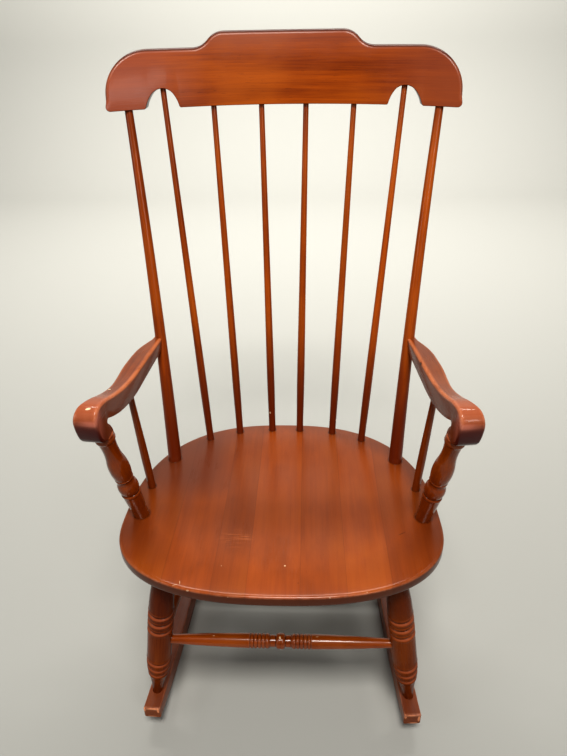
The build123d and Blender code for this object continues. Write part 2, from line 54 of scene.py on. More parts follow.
# ---- the chair's own lines, in millimetres
SEAT_WIDTH, SEAT_DEPTH, SEAT_WIDEST, SEAT_SQUARENESS = 520.0, 445.0, 160.0, 2.5
SEAT_THICKNESS, SEAT_BAND, SEAT_UNDERCUT, SEAT_BELLY = 30.0, 17.0, 20.0, 60.0
SEAT_ROUND_IN, SEAT_ROUND_DOWN, SEAT_ROUND_TOP = 4.5, 3.6, 0.15
SEAT_ORIGIN, SEAT_TILT = Vector((0, -317.5, 374.0)), math.radians(2.8)
SEAT_SEAMS = (-170.0, -96.0, -45.0, 33.0, 100.0, 166.0)
SEAT_SIDES = 168
SADDLE_RIM, SADDLE_DEPTH, SADDLE_CENTRE = 46.0, 6.0, 225.0
SADDLE_SHARES = (0.03, 0.12, 0.22, 0.32, 0.42, 0.5, 0.57, 0.64, 0.7, 0.76, 0.82, 0.87, 0.92, 0.96, 1.0)

CREST_HALF, CREST_HEIGHT, CREST_SHOULDER, CREST_FLAT = 284.25, 109.0, 86.0, 99.0
CREST_SWEEP, CREST_END, CREST_CORNER = 34.0, 62.0, 7.0
CREST_THICKNESS, CREST_BEND, CREST_LEAN = 19.0, 620.0, math.radians(15.0)
CREST_ORIGIN = Vector((0, 246.5, 941.7))
CREST_EDGE, CREST_FRONT_ROUND, CREST_BACK_ROUND = 1.0, 5.2, 2.2
NOTCH_OFFSET, NOTCH_RISE = 199.5, 29.0
# half width and height of the notch at its foot, wall, cheek and shoulder
NOTCH = ((28.2, 0.0), (26.2, 1.8), (23.1, 10.6), (17.9, 19.4))

# Side views and turnings are chains of ends and middles: end, middle, end, middle, end.
# Each end, middle, end is an arc through three points, or a line where the middle is None.
ARM_ORIGIN, ARM_HEIGHT, ARM_TOE = Vector((217.5, 71.5, 0)), 585.0, math.radians(5.9)
ARM_BLOCK, ARM_REAR_REACH, ARM_ROUND, ARM_EDGE = 40.0, 6.0, 5.0, 1.3
ARM_SIDE = (  # forward from the rear end and up from the flat top
    (0, -3), None, (117, 0), (177.02, 5.55), (235, 22), (249.5, 26.37), (264.5, 28.5), (281.02, 22.38),
    (287.5, 6), (286.09, -6.65), (283, -19), (274.99, -30.12), (262, -34.5), None, (241.5, -34.5),
    (245.49, -21.49), (253.5, -10.5), (254.11, -5.98), (250, -4), (226.8, -14.67), (202.5, -22.5),
    (160.55, -29.59), (118, -29.5), None, (0, -23), None, (0, -3))
ARM_WIDTHS = ((0, 15), (47, 29.3), (96, 32), (122, 31.1), (148, 28.3), (174, 25.4), (200, 24.5),
              (244.7, 27.6), (288.5, 37))

ROCKER_ORIGIN, ROCKER_TOE = Vector((206.2, 0, 0)), math.radians(3.2)
ROCKER_WIDTH, ROCKER_ROUND = 29.0, 2.2
ROCKER_SIDE = ((-300.5, 57.63), (-39.6, 42.0), (318.4, 90.28), None, (318.4, 66.28), (-39.6, 0.0),
               (-300.5, 34.63), None, (-300.5, 57.63))

# ---- sticks: foot and top of the axis on the right side, then (distance from the foot, radius)
POST = (Vector((206.79, 7.47, 358.11)), Vector((253.75, 190.28, 941.7)))
POST_SHAPE = ((-6, 12), (20, 12), (130, 10.9), (255, 9.6), (430, 8.2), (604, 6.7), (625, 6.7))
SPINDLES = (
    (Vector((27.66, 108.06, 353.19)), Vector((38.0, 245.29, 941.7))),
    (Vector((92.48, 99.11, 353.62)), Vector((118.75, 234.62, 941.7))),
    (Vector((148.85, 74.73, 354.82)), Vector((199.5, 220.13, 970.7))))
SPINDLE_SHAPE = ((-6, 6.6), (18, 6.6), (105, 7.3), (300, 6.2), (480, 5.2), (584, 4.7))
SPINDLE_TOP, SPINDLE_TENON = 4.7, 8
ARM_POST = (Vector((254.48, -179.33, 550.5)), Vector((232.47, -147.6, 365.69)))
ARM_POST_TURNING = (
    (-3, 14.4), None, (0, 14.4), (4.2, 15.4), (8.6, 13.6), (27, 12), (47.6, 13.6), (74, 16.2), (90, 14.2),
    None, (90.6, 13.2), (92.6, 14.6), (95.2, 13.2), None, (101.6, 13.6), (114.5, 16.6), (126, 14.2),
    (129.3, 15.9), (132.6, 15), (157, 13.8), (170, 12.9), (177, 12.7), (195, 12.7))
ARM_SPINDLE = (Vector((231.52, -75.53, 362.17)), Vector((244.63, -69.46, 555.5)))
ARM_SPINDLE_SHAPE = ((-6, 6.6), (18, 6.6), (60, 6.9), (130, 5.9), (185, 5.1), (199, 5.1))
FRONT_LEG = (Vector((220.79, -261.0, 52.52)), Vector((179.0, -250.05, 340.67)))
REAR_LEG = (Vector((199.94, 112.0, 52.44)), Vector((150.0, 12.64, 327.82)))
LEG_SHAPE = ((-8, 8.9), (4, 8.9), (23, 10.8), (44, 14.6), (56, 17.2), (84, 20.0), (138, 20.6),
             (182, 20.6), (219, 20.1), (244, 19.0), (282, 15.6), (296, 15.2))
LEG_GROOVES = (60.5, 76.5, 92.5, 173.5, 191.5, 209.5)
GROOVE_HALF, GROOVE_REACH, GROOVE_LIP, GROOVE_STEP = 3.3, 8.0, 0.55, 0.8
FRONT_STRETCHER = (Vector((-195.6, -255.81, 188.99)), Vector((195.6, -255.81, 188.99)))
REAR_STRETCHER = (Vector((-170.08, 63.15, 187.82)), Vector((170.08, 63.15, 187.82)))
SIDE_STRETCHER = (Vector((204.64, -251.74, 161.25)), Vector((181.15, 68.7, 158.2)))
STRETCHER_END, STRETCHER_SWELL, STRETCHER_TENON = 7.6, 9.8, 22
RING_START, RING_COUNT, RING_WIDTH, RING_FOOT, RING_RADIUS = 19.0, 5, 6.2, 10.9, 12.1
TAPER_END, TAPER_MIDDLE = 173.6, 10.4
ROCKER_PINS = (Vector((222.37, -261.41, 41.64)), Vector((201.79, 115.68, 42.24)))
ROCKER_PIN_RADIUS, ROCKER_PIN_STANDS = 3.0, 0.35
CREST_PIN, CREST_PIN_RADIUS, CREST_PIN_HALF = Vector((255.41, 195.44, 952.69)), 1.8, 6.6

# ---- wood figure: repeats in a metre across, through and along the grain
BROAD_FIGURE, NARROW_FIGURE, FINE_LINES = (34, 34, 2.4), (150, 150, 4.5), (620, 620, 14)
CLOUDS, PORES, PATCHES = (9, 9, 5), (1100, 1100, 75), (95, 95, 40)
SCRATCHES = (22, 900, 200)

# ---- tones of varnish and rubbed wood, and of painted shade, sheen and highlights
# seat: browner rim with painted shade behind the front edge, painted shade on the side band, and light
# scratches
SEAT_HAZE_AND_SHADE, SEAT_SIDE_SHADE, SEAT_RUB = (0.1, 0.021, 0.007), (0.07, 0.013, 0.002), (0.62, 0.19, 0.06)
# crest: mauve tint that is partly painted sheen, and paler painted sheen on the left end
CREST_MAUVE_AND_SHEEN, CREST_PALE_SHEEN = (0.235, 0.056, 0.028), (0.34, 0.085, 0.045)
# crest: painted shade under the rail and along its top rim
CREST_UNDER_SHADE, CREST_RIM_SHADE = (0.03, 0.005, 0.002), (0.05, 0.01, 0.005)
# arms: painted mauve sheen, and painted shade on the flanks and the underside
ARM_MAUVE_SHEEN, ARM_FLANK_SHADE, ARM_UNDER_SHADE = (0.12, 0.03, 0.014), (0.17, 0.042, 0.014), (0.03, 0.004, 0.003)
ARM_RUBBED, ARM_ROLL = (0.52, 0.15, 0.05), (0.40, 0.11, 0.05)
# arms: painted shade under the roll, and a painted highlight band across it
ARM_CHIN_SHADE, ARM_HIGHLIGHT_BAND = (0.06, 0.008, 0.009), (0.6, 0.2, 0.14)
# rockers: painted sheen on the top faces, and pale worn tips
ROCKER_TOP_SHEEN, ROCKER_CHIP = (0.15, 0.055, 0.036), (0.78, 0.31, 0.15)
STICK_FOOT, ARM_POST_HAZE = (0.12, 0.014, 0.001), (0.12, 0.017, 0.001)
# legs: painted shadow of the seat at the top, and painted highlights on the ring walls
LEG_TOP_SHADOW, LEG_RING_HIGHLIGHT = (0.06, 0.008, 0.003), (0.36, 0.1, 0.045)

# ---- stage, in metres and degrees
FLOOR_SIZE, FLOOR_FORWARD, FLOOR_COLOUR = 16, -4.8, (0.36, 0.36, 0.34, 1)
COVE_RADIUS, COVE_STEPS, WALL_HEIGHT = 0.9, 12, 3.5
ROOM_COLOUR, ROOM_STRENGTH = (0.96, 1.0, 0.95, 1), 0.12
LIGHTS = (  # name, place, what it points at, size, watts, colour
    ("ceiling_light", (0.1, -1.7, 3.9), (0, 0, 0.4), (1.2, 1.0), 126, (1.0, 0.965, 0.91)),
    ("side_light", (-2.6, -1.6, 1.9), (0, 0, 0.6), (1.0, 1.0), 10, (0.95, 0.98, 1.0)),
    ("back_light", (0, 1.7, 3.4), (0, 4.2, 0.9), (3.0, 0.8), 270, (1.0, 0.97, 0.92)),
    ("window_light", (1.7, -2.9, 2.3), (0, -0.1, 0.5), (0.9, 0.7), 18, (1.0, 0.98, 0.95)))
CAMERA_PLACE, CAMERA_TURN = (0.0408, -0.87368, 1.0761), (58.5653, 0.9386, 1.9963)
CAMERA_SENSOR = 36
CAMERA_LENS = 600 * CAMERA_SENSOR / 756


# ---------------------------------------------------------------- what a user may change
def measure(name, text, default, most):
    """A length to change, given in millimetres."""
    return FloatProperty(name=name, description=text, default=default * MM, min=0, max=most * MM,
                         subtype="DISTANCE", unit="LENGTH")


def tint(name, text, default):
    """A colour to change."""
    return FloatVectorProperty(name=name, description=text, subtype="COLOR", size=3, min=0, max=1,
                               default=default)


def degree(name, text, default):
    """A setting from nought to one."""
    return FloatProperty(name=name, description=text, default=default, min=0, max=1, subtype="FACTOR")


class ChairSizes(bpy.types.PropertyGroup):
    stick_sides: IntProperty(name="Sides of a stick", description="Faces round each turned stick",
                             default=40, min=12, max=96)
    post_bow: measure("Post bow", "How far the back posts curve in at mid height", 3.2, 8)
    saddle_depth: measure("Seat hollow", "Depth of the dished seat", SADDLE_DEPTH, 10)
    groove_depth: measure("Ring depth", "Depth of the rings cut in the legs", 2.6, 4)


class ChairStain(bpy.types.PropertyGroup):
    orange: tint("Stain", "Bright tone of the stained wood", (0.44, 0.084, 0.003))
    brown: tint("Grain", "Dark tone of the stained grain", (0.185, 0.026, 0.0014))
    worn: tint("Worn edge", "Tone of rubbed edges and rings", (0.70, 0.30, 0.18))
    bare: tint("Bare wood", "Tone of chips down to the wood", (0.86, 0.66, 0.42))
    wear: degree("Wear", "How much the edges are rubbed", 0.6)
    roughness: degree("Roughness", "Roughness of the satin varnish", 0.27)


def sizes():
    return bpy.context.scene.chair_sizes


def stain():
    return bpy.context.scene.chair_stain


# ---------------------------------------------------------------- lines and curves
def segments(chain):
    """The arcs of a chain of ends and middles, each as end, middle and end."""
    return [chain[index:index + 3] for index in range(0, len(chain) - 1, 2)]


def arc(first, middle, last, step):
    """Points along the arc through three points, or along the line without a middle, but not the last one."""
    first, last = Vector(first), Vector(last)
    middle = Vector(middle) if middle else (first + last) / 2
    a, b = middle - first, last - first
    cross = a.x * b.y - a.y * b.x
    if abs(cross) < 1e-3 * b.length:
        count = max(1, round(b.length / step))
        return [first.lerp(last, number / count) for number in range(count)]
    centre = Vector((b.y * a.length_squared - a.y * b.length_squared,
                     a.x * b.length_squared - b.x * a.length_squared)) / (2 * cross)
    centre += first
    radius = (first - centre).length
    start = math.atan2(first.y - centre.y, first.x - centre.x)
    turn = math.atan2(last.y - centre.y, last.x - centre.x) - start
    turn = turn % math.tau if cross > 0 else turn % math.tau - math.tau
    count = max(2, round(abs(turn) * radius / step), round(abs(turn) / math.radians(9)))
    bearings = [start + turn * number / count for number in range(count)]
    return [centre + radius * Vector((math.cos(bearing), math.sin(bearing))) for bearing in bearings]


def drawn(arcs, step):
    """Points along arcs that follow each other, without the last one."""
    return [point for one in arcs for point in arc(*one, step)]


def smooth(points, at):
    """Value at a place on a smooth line through (place, value) points."""
    for index in range(len(points) - 1):
        (x0, y0), (x1, y1) = points[index], points[index + 1]
        if at <= x1 or index == len(points) - 2:
            break
    before = points[max(index - 1, 0)]
    after = points[min(index + 2, len(points) - 1)]
    slope0 = (y1 - before[1]) / (x1 - before[0])
    slope1 = (after[1] - y0) / (after[0] - x0)
    span = x1 - x0
    t = min(max((at - x0) / span, 0), 1)
    return ((2 * t ** 3 - 3 * t ** 2 + 1) * y0 + (t ** 3 - 2 * t ** 2 + t) * span * slope0
            + (3 * t ** 2 - 2 * t ** 3) * y1 + (t ** 3 - t ** 2) * span * slope1)


def ease(low, high, value):
    """Nought below the low end, one above the high end, and smooth between."""
    t = min(max((value - low) / (high - low), 0), 1)
    return t * t * (3 - 2 * t)


# ---------------------------------------------------------------- modelling
def start_clean():
    """Leaves edit mode and selects nothing."""
    if bpy.context.mode != "OBJECT":
        bpy.ops.object.mode_set(mode="OBJECT")
    bpy.ops.object.select_all(action="DESELECT")


def pick(obj):
    """Selects one object alone."""
    start_clean()
    obj.select_set(True)
    bpy.context.view_layer.objects.active = obj


def copied(obj):
    """A copy of an object with a mesh of its own."""
    pick(obj)
    bpy.ops.object.duplicate(linked=False)
    return bpy.context.object


def face_outward():
    bpy.ops.mesh.select_all(action="SELECT")
    bpy.ops.mesh.normals_make_consistent(inside=False)


def edit_faces():
    """Goes into edit mode with every face selected."""
    bpy.ops.object.mode_set(mode="EDIT")
    bpy.ops.mesh.select_all(action="SELECT")
    bpy.ops.mesh.select_mode(type="FACE")


def key(point):
    return tuple(round(value, 5) for value in point)


def ring_by_ring(rings):
    """A round blank drawn out ring by ring: each extruded ring is moved to its own points, in millimetres."""
    start_clean()
    bpy.ops.mesh.primitive_circle_add(vertices=len(rings[0]), radius=1, fill_type="NGON")
    obj = bpy.context.object
    for vertex, point in zip(obj.data.vertices, rings[0]):
        vertex.co = point
    edit_faces()
    for last, ring in zip(rings, rings[1:]):
        bpy.ops.mesh.extrude_region_move(TRANSFORM_OT_translate={"value": (0, 0, 0)})
        mesh = bmesh.from_edit_mesh(obj.data)
        places = {key(old): new for old, new in zip(last, ring)}
        for vertex in mesh.verts:
            if vertex.select:
                vertex.co = places[key(vertex.co)]
        bmesh.update_edit_mesh(obj.data)
    face_outward()
    return obj


def shape(obj, place, grain):
    """Leaves edit mode, notes where the grain runs, and moves every point to its place, in metres."""
    pick(obj)
    data = obj.data
    attribute = data.attributes.new("grain", "FLOAT_VECTOR", "POINT")
    for vertex in data.vertices:
        attribute.data[vertex.index].vector = grain(vertex.co) * MM
    for vertex in data.vertices:
        vertex.co = place(vertex.co) * MM
    data.update()
    bpy.ops.object.mode_set(mode="EDIT")
    face_outward()
    bpy.ops.object.mode_set(mode="OBJECT")


def along_board(point):
    """Grain of a sawn board, which runs along its length."""
    return point.yzx


def note_relief(obj, gain):
    """Notes on every point how far it stands out, for rubbed edges, or lies in a groove."""
    data = obj.data
    sums = [0.0] * len(data.vertices)
    counts = [0] * len(data.vertices)
    normals = [Vector(vertex.normal) for vertex in data.vertices]
    for edge in data.edges:
        a, b = edge.vertices
        way = (data.vertices[a].co - data.vertices[b].co).normalized()
        sums[a] += normals[a].dot(way)
        sums[b] -= normals[b].dot(way)
        counts[a] += 1
        counts[b] += 1
    attribute = data.attributes.new("relief", "FLOAT", "POINT")
    for index, (total, count) in enumerate(zip(sums, counts)):
        attribute.data[index].value = max(-1, min(1, gain * total / max(count, 1)))


def finish_piece(obj, node, material, tone, gain=3.5):
    """Names the piece for its node, smooths it, gives it its finish and sets it on the chair."""
    pick(obj)
    obj.name = obj.data.name = f"{node}_wood"
    bpy.ops.object.shade_smooth_by_angle(angle=math.radians(38))
    data = obj.data
    if "relief" not in data.attributes:
        note_relief(obj, gain)
    upward = data.attributes.new("upward", "FLOAT", "POINT")
    upward.data.foreach_set("value", [vertex.normal.z for vertex in data.vertices])
    tones = data.attributes.new("tone", "FLOAT", "POINT")
    tones.data.foreach_set("value", [tone] * len(data.vertices))
    data.materials.clear()
    data.materials.append(material)
    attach(obj, BODY)
    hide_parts(node)


def left_copy(obj):
    """The same piece for the left side, with a mesh of its own."""
    copy = copied(obj)
    copy.data.transform(Matrix.Scale(-1, 4, (1, 0, 0)))
    copy.data.flip_normals()
    copy.data.update()
    return copy


def pair(name, obj, material, tones, gain=3.5):
    """Finishes a right piece and its left copy."""
    other = left_copy(obj)
    finish_piece(obj, f"{name}_right", material, tones[0], gain)
    finish_piece(other, f"{name}_left", material, tones[1], gain)


def turned(profile, foot, top, bow=0.0):
    """Turned stick: rings of (distance from the foot, radius), set on the line from foot to top."""
    start_clean()
    distance, radius = profile[0]
    bpy.ops.mesh.primitive_circle_add(vertices=sizes().stick_sides, radius=radius, fill_type="NGON",
                                      location=(0, 0, distance))
    obj = bpy.context.object
    bpy.ops.object.transform_apply(location=True, rotation=True, scale=True)
    edit_faces()
    for further, wider in profile[1:]:
        bpy.ops.mesh.extrude_region_move(TRANSFORM_OT_translate={"value": (0, 0, further - distance)})
        bpy.ops.transform.resize(value=(wider / radius, wider / radius, 1))
        distance, radius = further, wider
    axis = top - foot
    turn = Vector((0, 0, 1)).rotation_difference(axis).to_matrix()
    length = axis.length

    def place(point):
        share = min(max(point.z / length, 0), 1)
        return foot + turn @ point - Vector((bow * 4 * share * (1 - share), 0, 0))

    shape(obj, place, lambda point: point)
    return obj


def long_taper(points, step=16.0):
    """Rings of a smooth stick through its shape's points."""
    first, last = points[0][0], points[-1][0]
    count = round((last - first) / step)
    places = [first + (last - first) * number / count for number in range(count + 1)]
    return [(place, smooth(points, place)) for place in places]


def lathe(arcs, step=1.6):
    """Rings along a turning drawn as arcs and lines."""
    return [tuple(point) for point in drawn(arcs, step)] + [tuple(arcs[-1][-1])]


# ---------------------------------------------------------------- finish
class Nodes:
    """Adds nodes to a material and joins them."""

    def __init__(self, name):
        self.material = bpy.data.materials.new(name)
        self.material.use_nodes = True
        self.tree = self.material.node_tree
        self.tree.nodes.clear()

    def add(self, kind, inputs=(), **settings):
        node = self.tree.nodes.new(kind)
        for setting, value in settings.items():
            setattr(node, setting, value)
        for socket, value in dict(inputs).items():
            if isinstance(value, bpy.types.NodeSocket):
                self.tree.links.new(value, node.inputs[socket])
            else:
                node.inputs[socket].default_value = value
        return node

    def noted(self, name, output="Fac"):
        """What a piece's points have noted under a name."""
        return self.add("ShaderNodeAttribute", attribute_name=name).outputs[output]

    def place(self):
        return self.add("ShaderNodeTexCoord").outputs["Object"]

    def parts(self, vector):
        return self.add("ShaderNodeSeparateXYZ", {0: vector}).outputs

    def vector(self, operation, inputs, output="Vector"):
        return self.add("ShaderNodeVectorMath", inputs, operation=operation).outputs[output]

    def math(self, operation, a, b, clamp=False):
        return self.add("ShaderNodeMath", {0: a, 1: b}, operation=operation, use_clamp=clamp).outputs[0]

    def plus(self, a, b, clamp=False):
        return self.math("ADD", a, b, clamp)

    def minus(self, a, b):
        return self.math("SUBTRACT", a, b)

    def times(self, a, b):
        return self.math("MULTIPLY", a, b)

    def larger(self, a, b):
        return self.math("MAXIMUM", a, b)

    def mix(self, share, under, over):
        """Lays one colour over another."""
        inputs = {0: share}
        for socket, colour in ((6, under), (7, over)):
            inputs[socket] = colour if isinstance(colour, bpy.types.NodeSocket) else (*colour, 1.0)
        return self.add("ShaderNodeMix", inputs, data_type="RGBA").outputs[2]

    def spread(self, value, low, high, to_low=0.0, to_high=1.0):
        """Maps a value smoothly from one range to another."""
        return self.add("ShaderNodeMapRange", {0: value, 1: low, 2: high, 3: to_low, 4: to_high},
                        interpolation_type="SMOOTHSTEP").outputs[0]

    def noise(self, vector, repeats, detail, roughness, distortion=0.0):
        """Cloudy pattern with its own number of repeats along each axis."""
        stretched = self.add("ShaderNodeMapping", {"Vector": vector, "Scale": repeats}).outputs[0]
        node = self.add("ShaderNodeTexNoise", {"Vector": stretched, "Scale": 1.0, "Detail": detail,
                                               "Roughness": roughness, "Distortion": distortion})
        return node.outputs["Fac"]

    def textured(self, spot, half, turn=0.0):
        """The piece's own space moved to a spot and measured in half sizes, in millimetres."""
        return self.add("ShaderNodeMapping", {
            "Vector": self.place(), "Location": [value * MM for value in spot], "Rotation": (0, 0, turn),
            "Scale": [value * MM for value in half]}, vector_type="TEXTURE").outputs[0]


def times_each(colour, *factors):
    """A colour made lighter or darker by one factor, or by one for each of its parts."""
    factors = factors * 3 if len(factors) == 1 else factors
    return [value * factor for value, factor in zip(colour, factors)]


def marked(n, colour, marks, mark_colour, shares):
    """Small ragged marks: each is a spot, its half sizes, its turn and its strength."""
    for spot, half, turn, strength in marks:
        reach = n.vector("LENGTH", {0: n.textured(spot, half, turn)}, "Value")
        ragged = n.noise(n.place(), (900, 900, 900), 3.0, 0.7)
        reach = n.plus(reach, n.times(n.minus(ragged, 0.5), 0.9))
        share = n.times(n.spread(reach, 1.15, 0.8), strength)
        colour = n.mix(share, colour, mark_colour)
        shares.append(share)
    return colour


def seam_lines(n, seams):
    """One along each glue line and nought away from it."""
    across = n.parts(n.place())[0]
    line = 0.0
    for seam in seams:
        off = n.math("ABSOLUTE", n.minus(across, seam * MM), 0.0)
        line = n.larger(line, n.spread(off, 0.0009, 0.0002))
    return line


def stained_wood(name, bright=1.0, figure=1.0, wear=1.0, haze_and_shade=None, chips=(), dents=(), seams=(),
                 chip_colour=None, gloss=0.24, coat=0.16, coat_blur=0.1, polish=0.0):
    """Satin-varnished stained wood: streaked grain, pores, blotches, rubbed edges, and grooves and hollows
    darkened as painted shade.
    """
    look = stain()
    n = Nodes(name)
    relief, tone = n.noted("relief"), n.noted("tone")
    shift = n.add("ShaderNodeCombineXYZ", {0: n.times(tone, 7.3), 1: n.times(tone, 3.1),
                                           2: n.times(tone, 11.7)}).outputs[0]
    where = n.vector("ADD", {0: n.noted("grain", "Vector"), 1: shift})
    broad = n.noise(where, BROAD_FIGURE, 5.0, 0.62, 0.6)
    narrow = n.noise(where, NARROW_FIGURE, 4.0, 0.6)
    fine = n.noise(where, FINE_LINES, 3.0, 0.65)
    cloud = n.noise(where, CLOUDS, 3.0, 0.55)
    pore = n.noise(where, PORES, 2.0, 0.5)
    patchy = n.noise(where, PATCHES, 5.0, 0.7)

    orange, brown = times_each(look.orange, bright), times_each(look.brown, bright)
    share = n.plus(n.spread(broad, 0.36, 0.68, 0.0, 0.5 * figure),
                   n.spread(narrow, 0.36, 0.68, 0.0, 0.38 * figure))
    share = n.plus(share, n.spread(fine, 0.35, 0.72, 0.0, 0.3 * figure), clamp=True)
    colour = n.mix(share, orange, brown)
    golden, muddy = times_each(orange, 1.18, 1.42, 1.6), times_each(brown, 0.9, 1.15, 1.3)
    colour = n.mix(n.spread(cloud, 0.42, 0.68, 0.0, 0.45), colour, golden)
    colour = n.mix(n.spread(cloud, 0.46, 0.3, 0.0, 0.4), colour, muddy)
    colour = n.mix(n.spread(pore, 0.63, 0.76, 0.0, 0.5 * figure), colour, times_each(brown, 0.35))
    colour = n.vector("SCALE", {0: colour, "Scale": n.spread(tone, 0.0, 1.0, 0.84, 1.14)})
    # the piece's own varnish tones, and on most pieces painted shade, sheen and highlights too
    if haze_and_shade:
        colour = haze_and_shade(n, colour, patchy)
    if seams:
        colour = n.mix(n.times(seam_lines(n, seams), 0.22), colour, times_each(brown, 0.3))

    # painted shade: grooves and hollows darkened, where shade falls
    colour = n.mix(n.spread(relief, -0.06, -0.4, 0.0, 0.92), colour, times_each(brown, 0.12))
    rubbed = n.times(n.spread(relief, 0.3, 0.8), n.spread(patchy, 0.36, 0.64, 0.3, 1.0))
    rubbed = n.times(rubbed, n.spread(n.noted("upward"), -0.2, 0.25))
    rubbed = n.times(rubbed, min(1.0, look.wear * wear))
    colour = n.mix(rubbed, colour, times_each(look.worn, 0.55 + 0.45 * bright))
    bared = []
    colour = marked(n, colour, dents, times_each(brown, 0.15), [])
    colour = marked(n, colour, chips, chip_colour or look.bare, bared)

    low = look.roughness - polish
    roughness = n.plus(n.spread(cloud, 0.25, 0.75, low - 0.04, low + 0.08), n.times(rubbed, 0.18))
    roughness = n.plus(roughness, n.times(fine, 0.05))
    height = n.plus(n.times(fine, 0.35), n.times(narrow, 0.3))
    height = n.plus(height, n.spread(pore, 0.63, 0.76, 0.0, -0.5))
    for share in bared:
        roughness = n.plus(roughness, n.times(share, 0.35))
        height = n.minus(height, n.times(share, 2.0))
    bump = n.add("ShaderNodeBump", {"Strength": 0.25, "Distance": 0.2 * MM, "Height": height}).outputs[0]
    shader = n.add("ShaderNodeBsdfPrincipled", {
        "Base Color": colour, "Roughness": roughness, "Normal": bump, "Specular IOR Level": gloss,
        "Coat Weight": coat, "Coat Roughness": coat_blur})
    n.add("ShaderNodeOutputMaterial", {"Surface": shader.outputs[0]})
    return n.material


# ---------------------------------------------------------------- seat
def seat_edge(bearing, inset):
    """Point of the seat's outline, moved in by an inset: x, and back from the front edge."""
    across, back = math.cos(bearing), math.sin(bearing)
    half = SEAT_WIDTH / 2
    reach = SEAT_DEPTH - SEAT_WIDEST if back > 0 else SEAT_WIDEST
    power = SEAT_SQUARENESS
    x = half * math.copysign(abs(across) ** (2 / power), across)
    y = reach * math.copysign(abs(back) ** (2 / power), back)
    slope_x = math.copysign(abs(x / half) ** (power - 1), x) / half
    slope_y = math.copysign(abs(y / reach) ** (power - 1), y) / reach
    size = math.hypot(slope_x, slope_y)
    return x - inset * slope_x / size, SEAT_WIDEST + y - inset * slope_y / size


def seat_ring(inset, height, share=1.0):
    """Ring round the seat, moved in by an inset and then drawn in to its centre by a share."""
    points = []
    for number in range(SEAT_SIDES):
        x, y = seat_edge(math.tau * (number + 0.5) / SEAT_SIDES, inset)
        points.append(Vector((x * share, SADDLE_CENTRE + (y - SADDLE_CENTRE) * share, height)))
    return points


def seat_rings():
    """Rings of the whole seat, from the middle of its top over the edge to the middle of its underside."""
    depth = sizes().saddle_depth / MM
    rings = [seat_ring(SADDLE_RIM, -depth * (1 - ease(0.42, 1.08, share)), share) for share in SADDLE_SHARES]
    edge = [(38, -0.1), (30, 0), (20, 0), (11, 0), (6, -0.1)]
    for turn in (8, 26, 44, 62, 80):
        angle = math.radians(turn)
        edge.append((SEAT_ROUND_IN * (1 - math.sin(angle)),
                     -SEAT_ROUND_TOP - SEAT_ROUND_DOWN * (1 - math.cos(angle))))
    edge += [(0, -5), (0, -9), (0, 2.0 - SEAT_BAND), (0.6, -SEAT_BAND), (2.4, -1.6 - SEAT_BAND),
             (SEAT_UNDERCUT - 2, 1.2 - SEAT_THICKNESS), (SEAT_UNDERCUT + 1, -SEAT_THICKNESS),
             (SEAT_BELLY, -SEAT_THICKNESS)]
    rings += [seat_ring(inset, height) for inset, height in edge]
    return rings + [seat_ring(SEAT_BELLY, -SEAT_THICKNESS, share) for share in (0.7, 0.35, 0.06)]


def on_seat(point):
    """Place on the chair of a point of the level seat."""
    return SEAT_ORIGIN + Matrix.Rotation(-SEAT_TILT, 3, "X") @ point


def seat_haze_and_shade(n, colour, patchy):
    """A browner rim, painted shade behind the front edge, on the left side and on the seat's side band and
    underside, and lighter rubs where one sits.
    """
    across, back, _ = n.parts(n.place())
    flat = n.vector("MULTIPLY", {0: n.textured((0, -95, 360), (262, 222, 1000)), 1: (1, 1, 0)})
    reach = n.vector("LENGTH", {0: flat}, "Value")
    uneven = n.plus(reach, n.times(n.minus(patchy, 0.5), 0.14))
    # painted shade behind the front edge and on the left side, over a browner rim
    rim = n.times(n.spread(uneven, 0.68, 1.02), n.spread(back, -0.30, -0.18, 0.1, 0.7))
    left = n.times(n.spread(across, -0.02, -0.15), n.spread(back, -0.17, -0.04, 0.0, 0.85))
    share = n.larger(n.larger(rim, left), n.spread(back, -0.28, -0.16, 0.0, 0.33))
    colour = n.mix(share, colour, SEAT_HAZE_AND_SHADE)
    # painted shade on the faces that turn away from the top: the side band and the underside
    colour = n.mix(n.spread(n.noted("upward"), 0.7, 0.3, 0.0, 0.9), colour, SEAT_SIDE_SHADE)
    lines = n.noise(n.place(), SCRATCHES, 2.0, 0.6)
    near = n.vector("LENGTH", {0: n.textured((-70, -196, 366), (34, 26, 12))}, "Value")
    return n.mix(n.times(n.spread(lines, 0.56, 0.66, 0.0, 0.6), n.spread(near, 1.0, 0.5)), colour, SEAT_RUB)


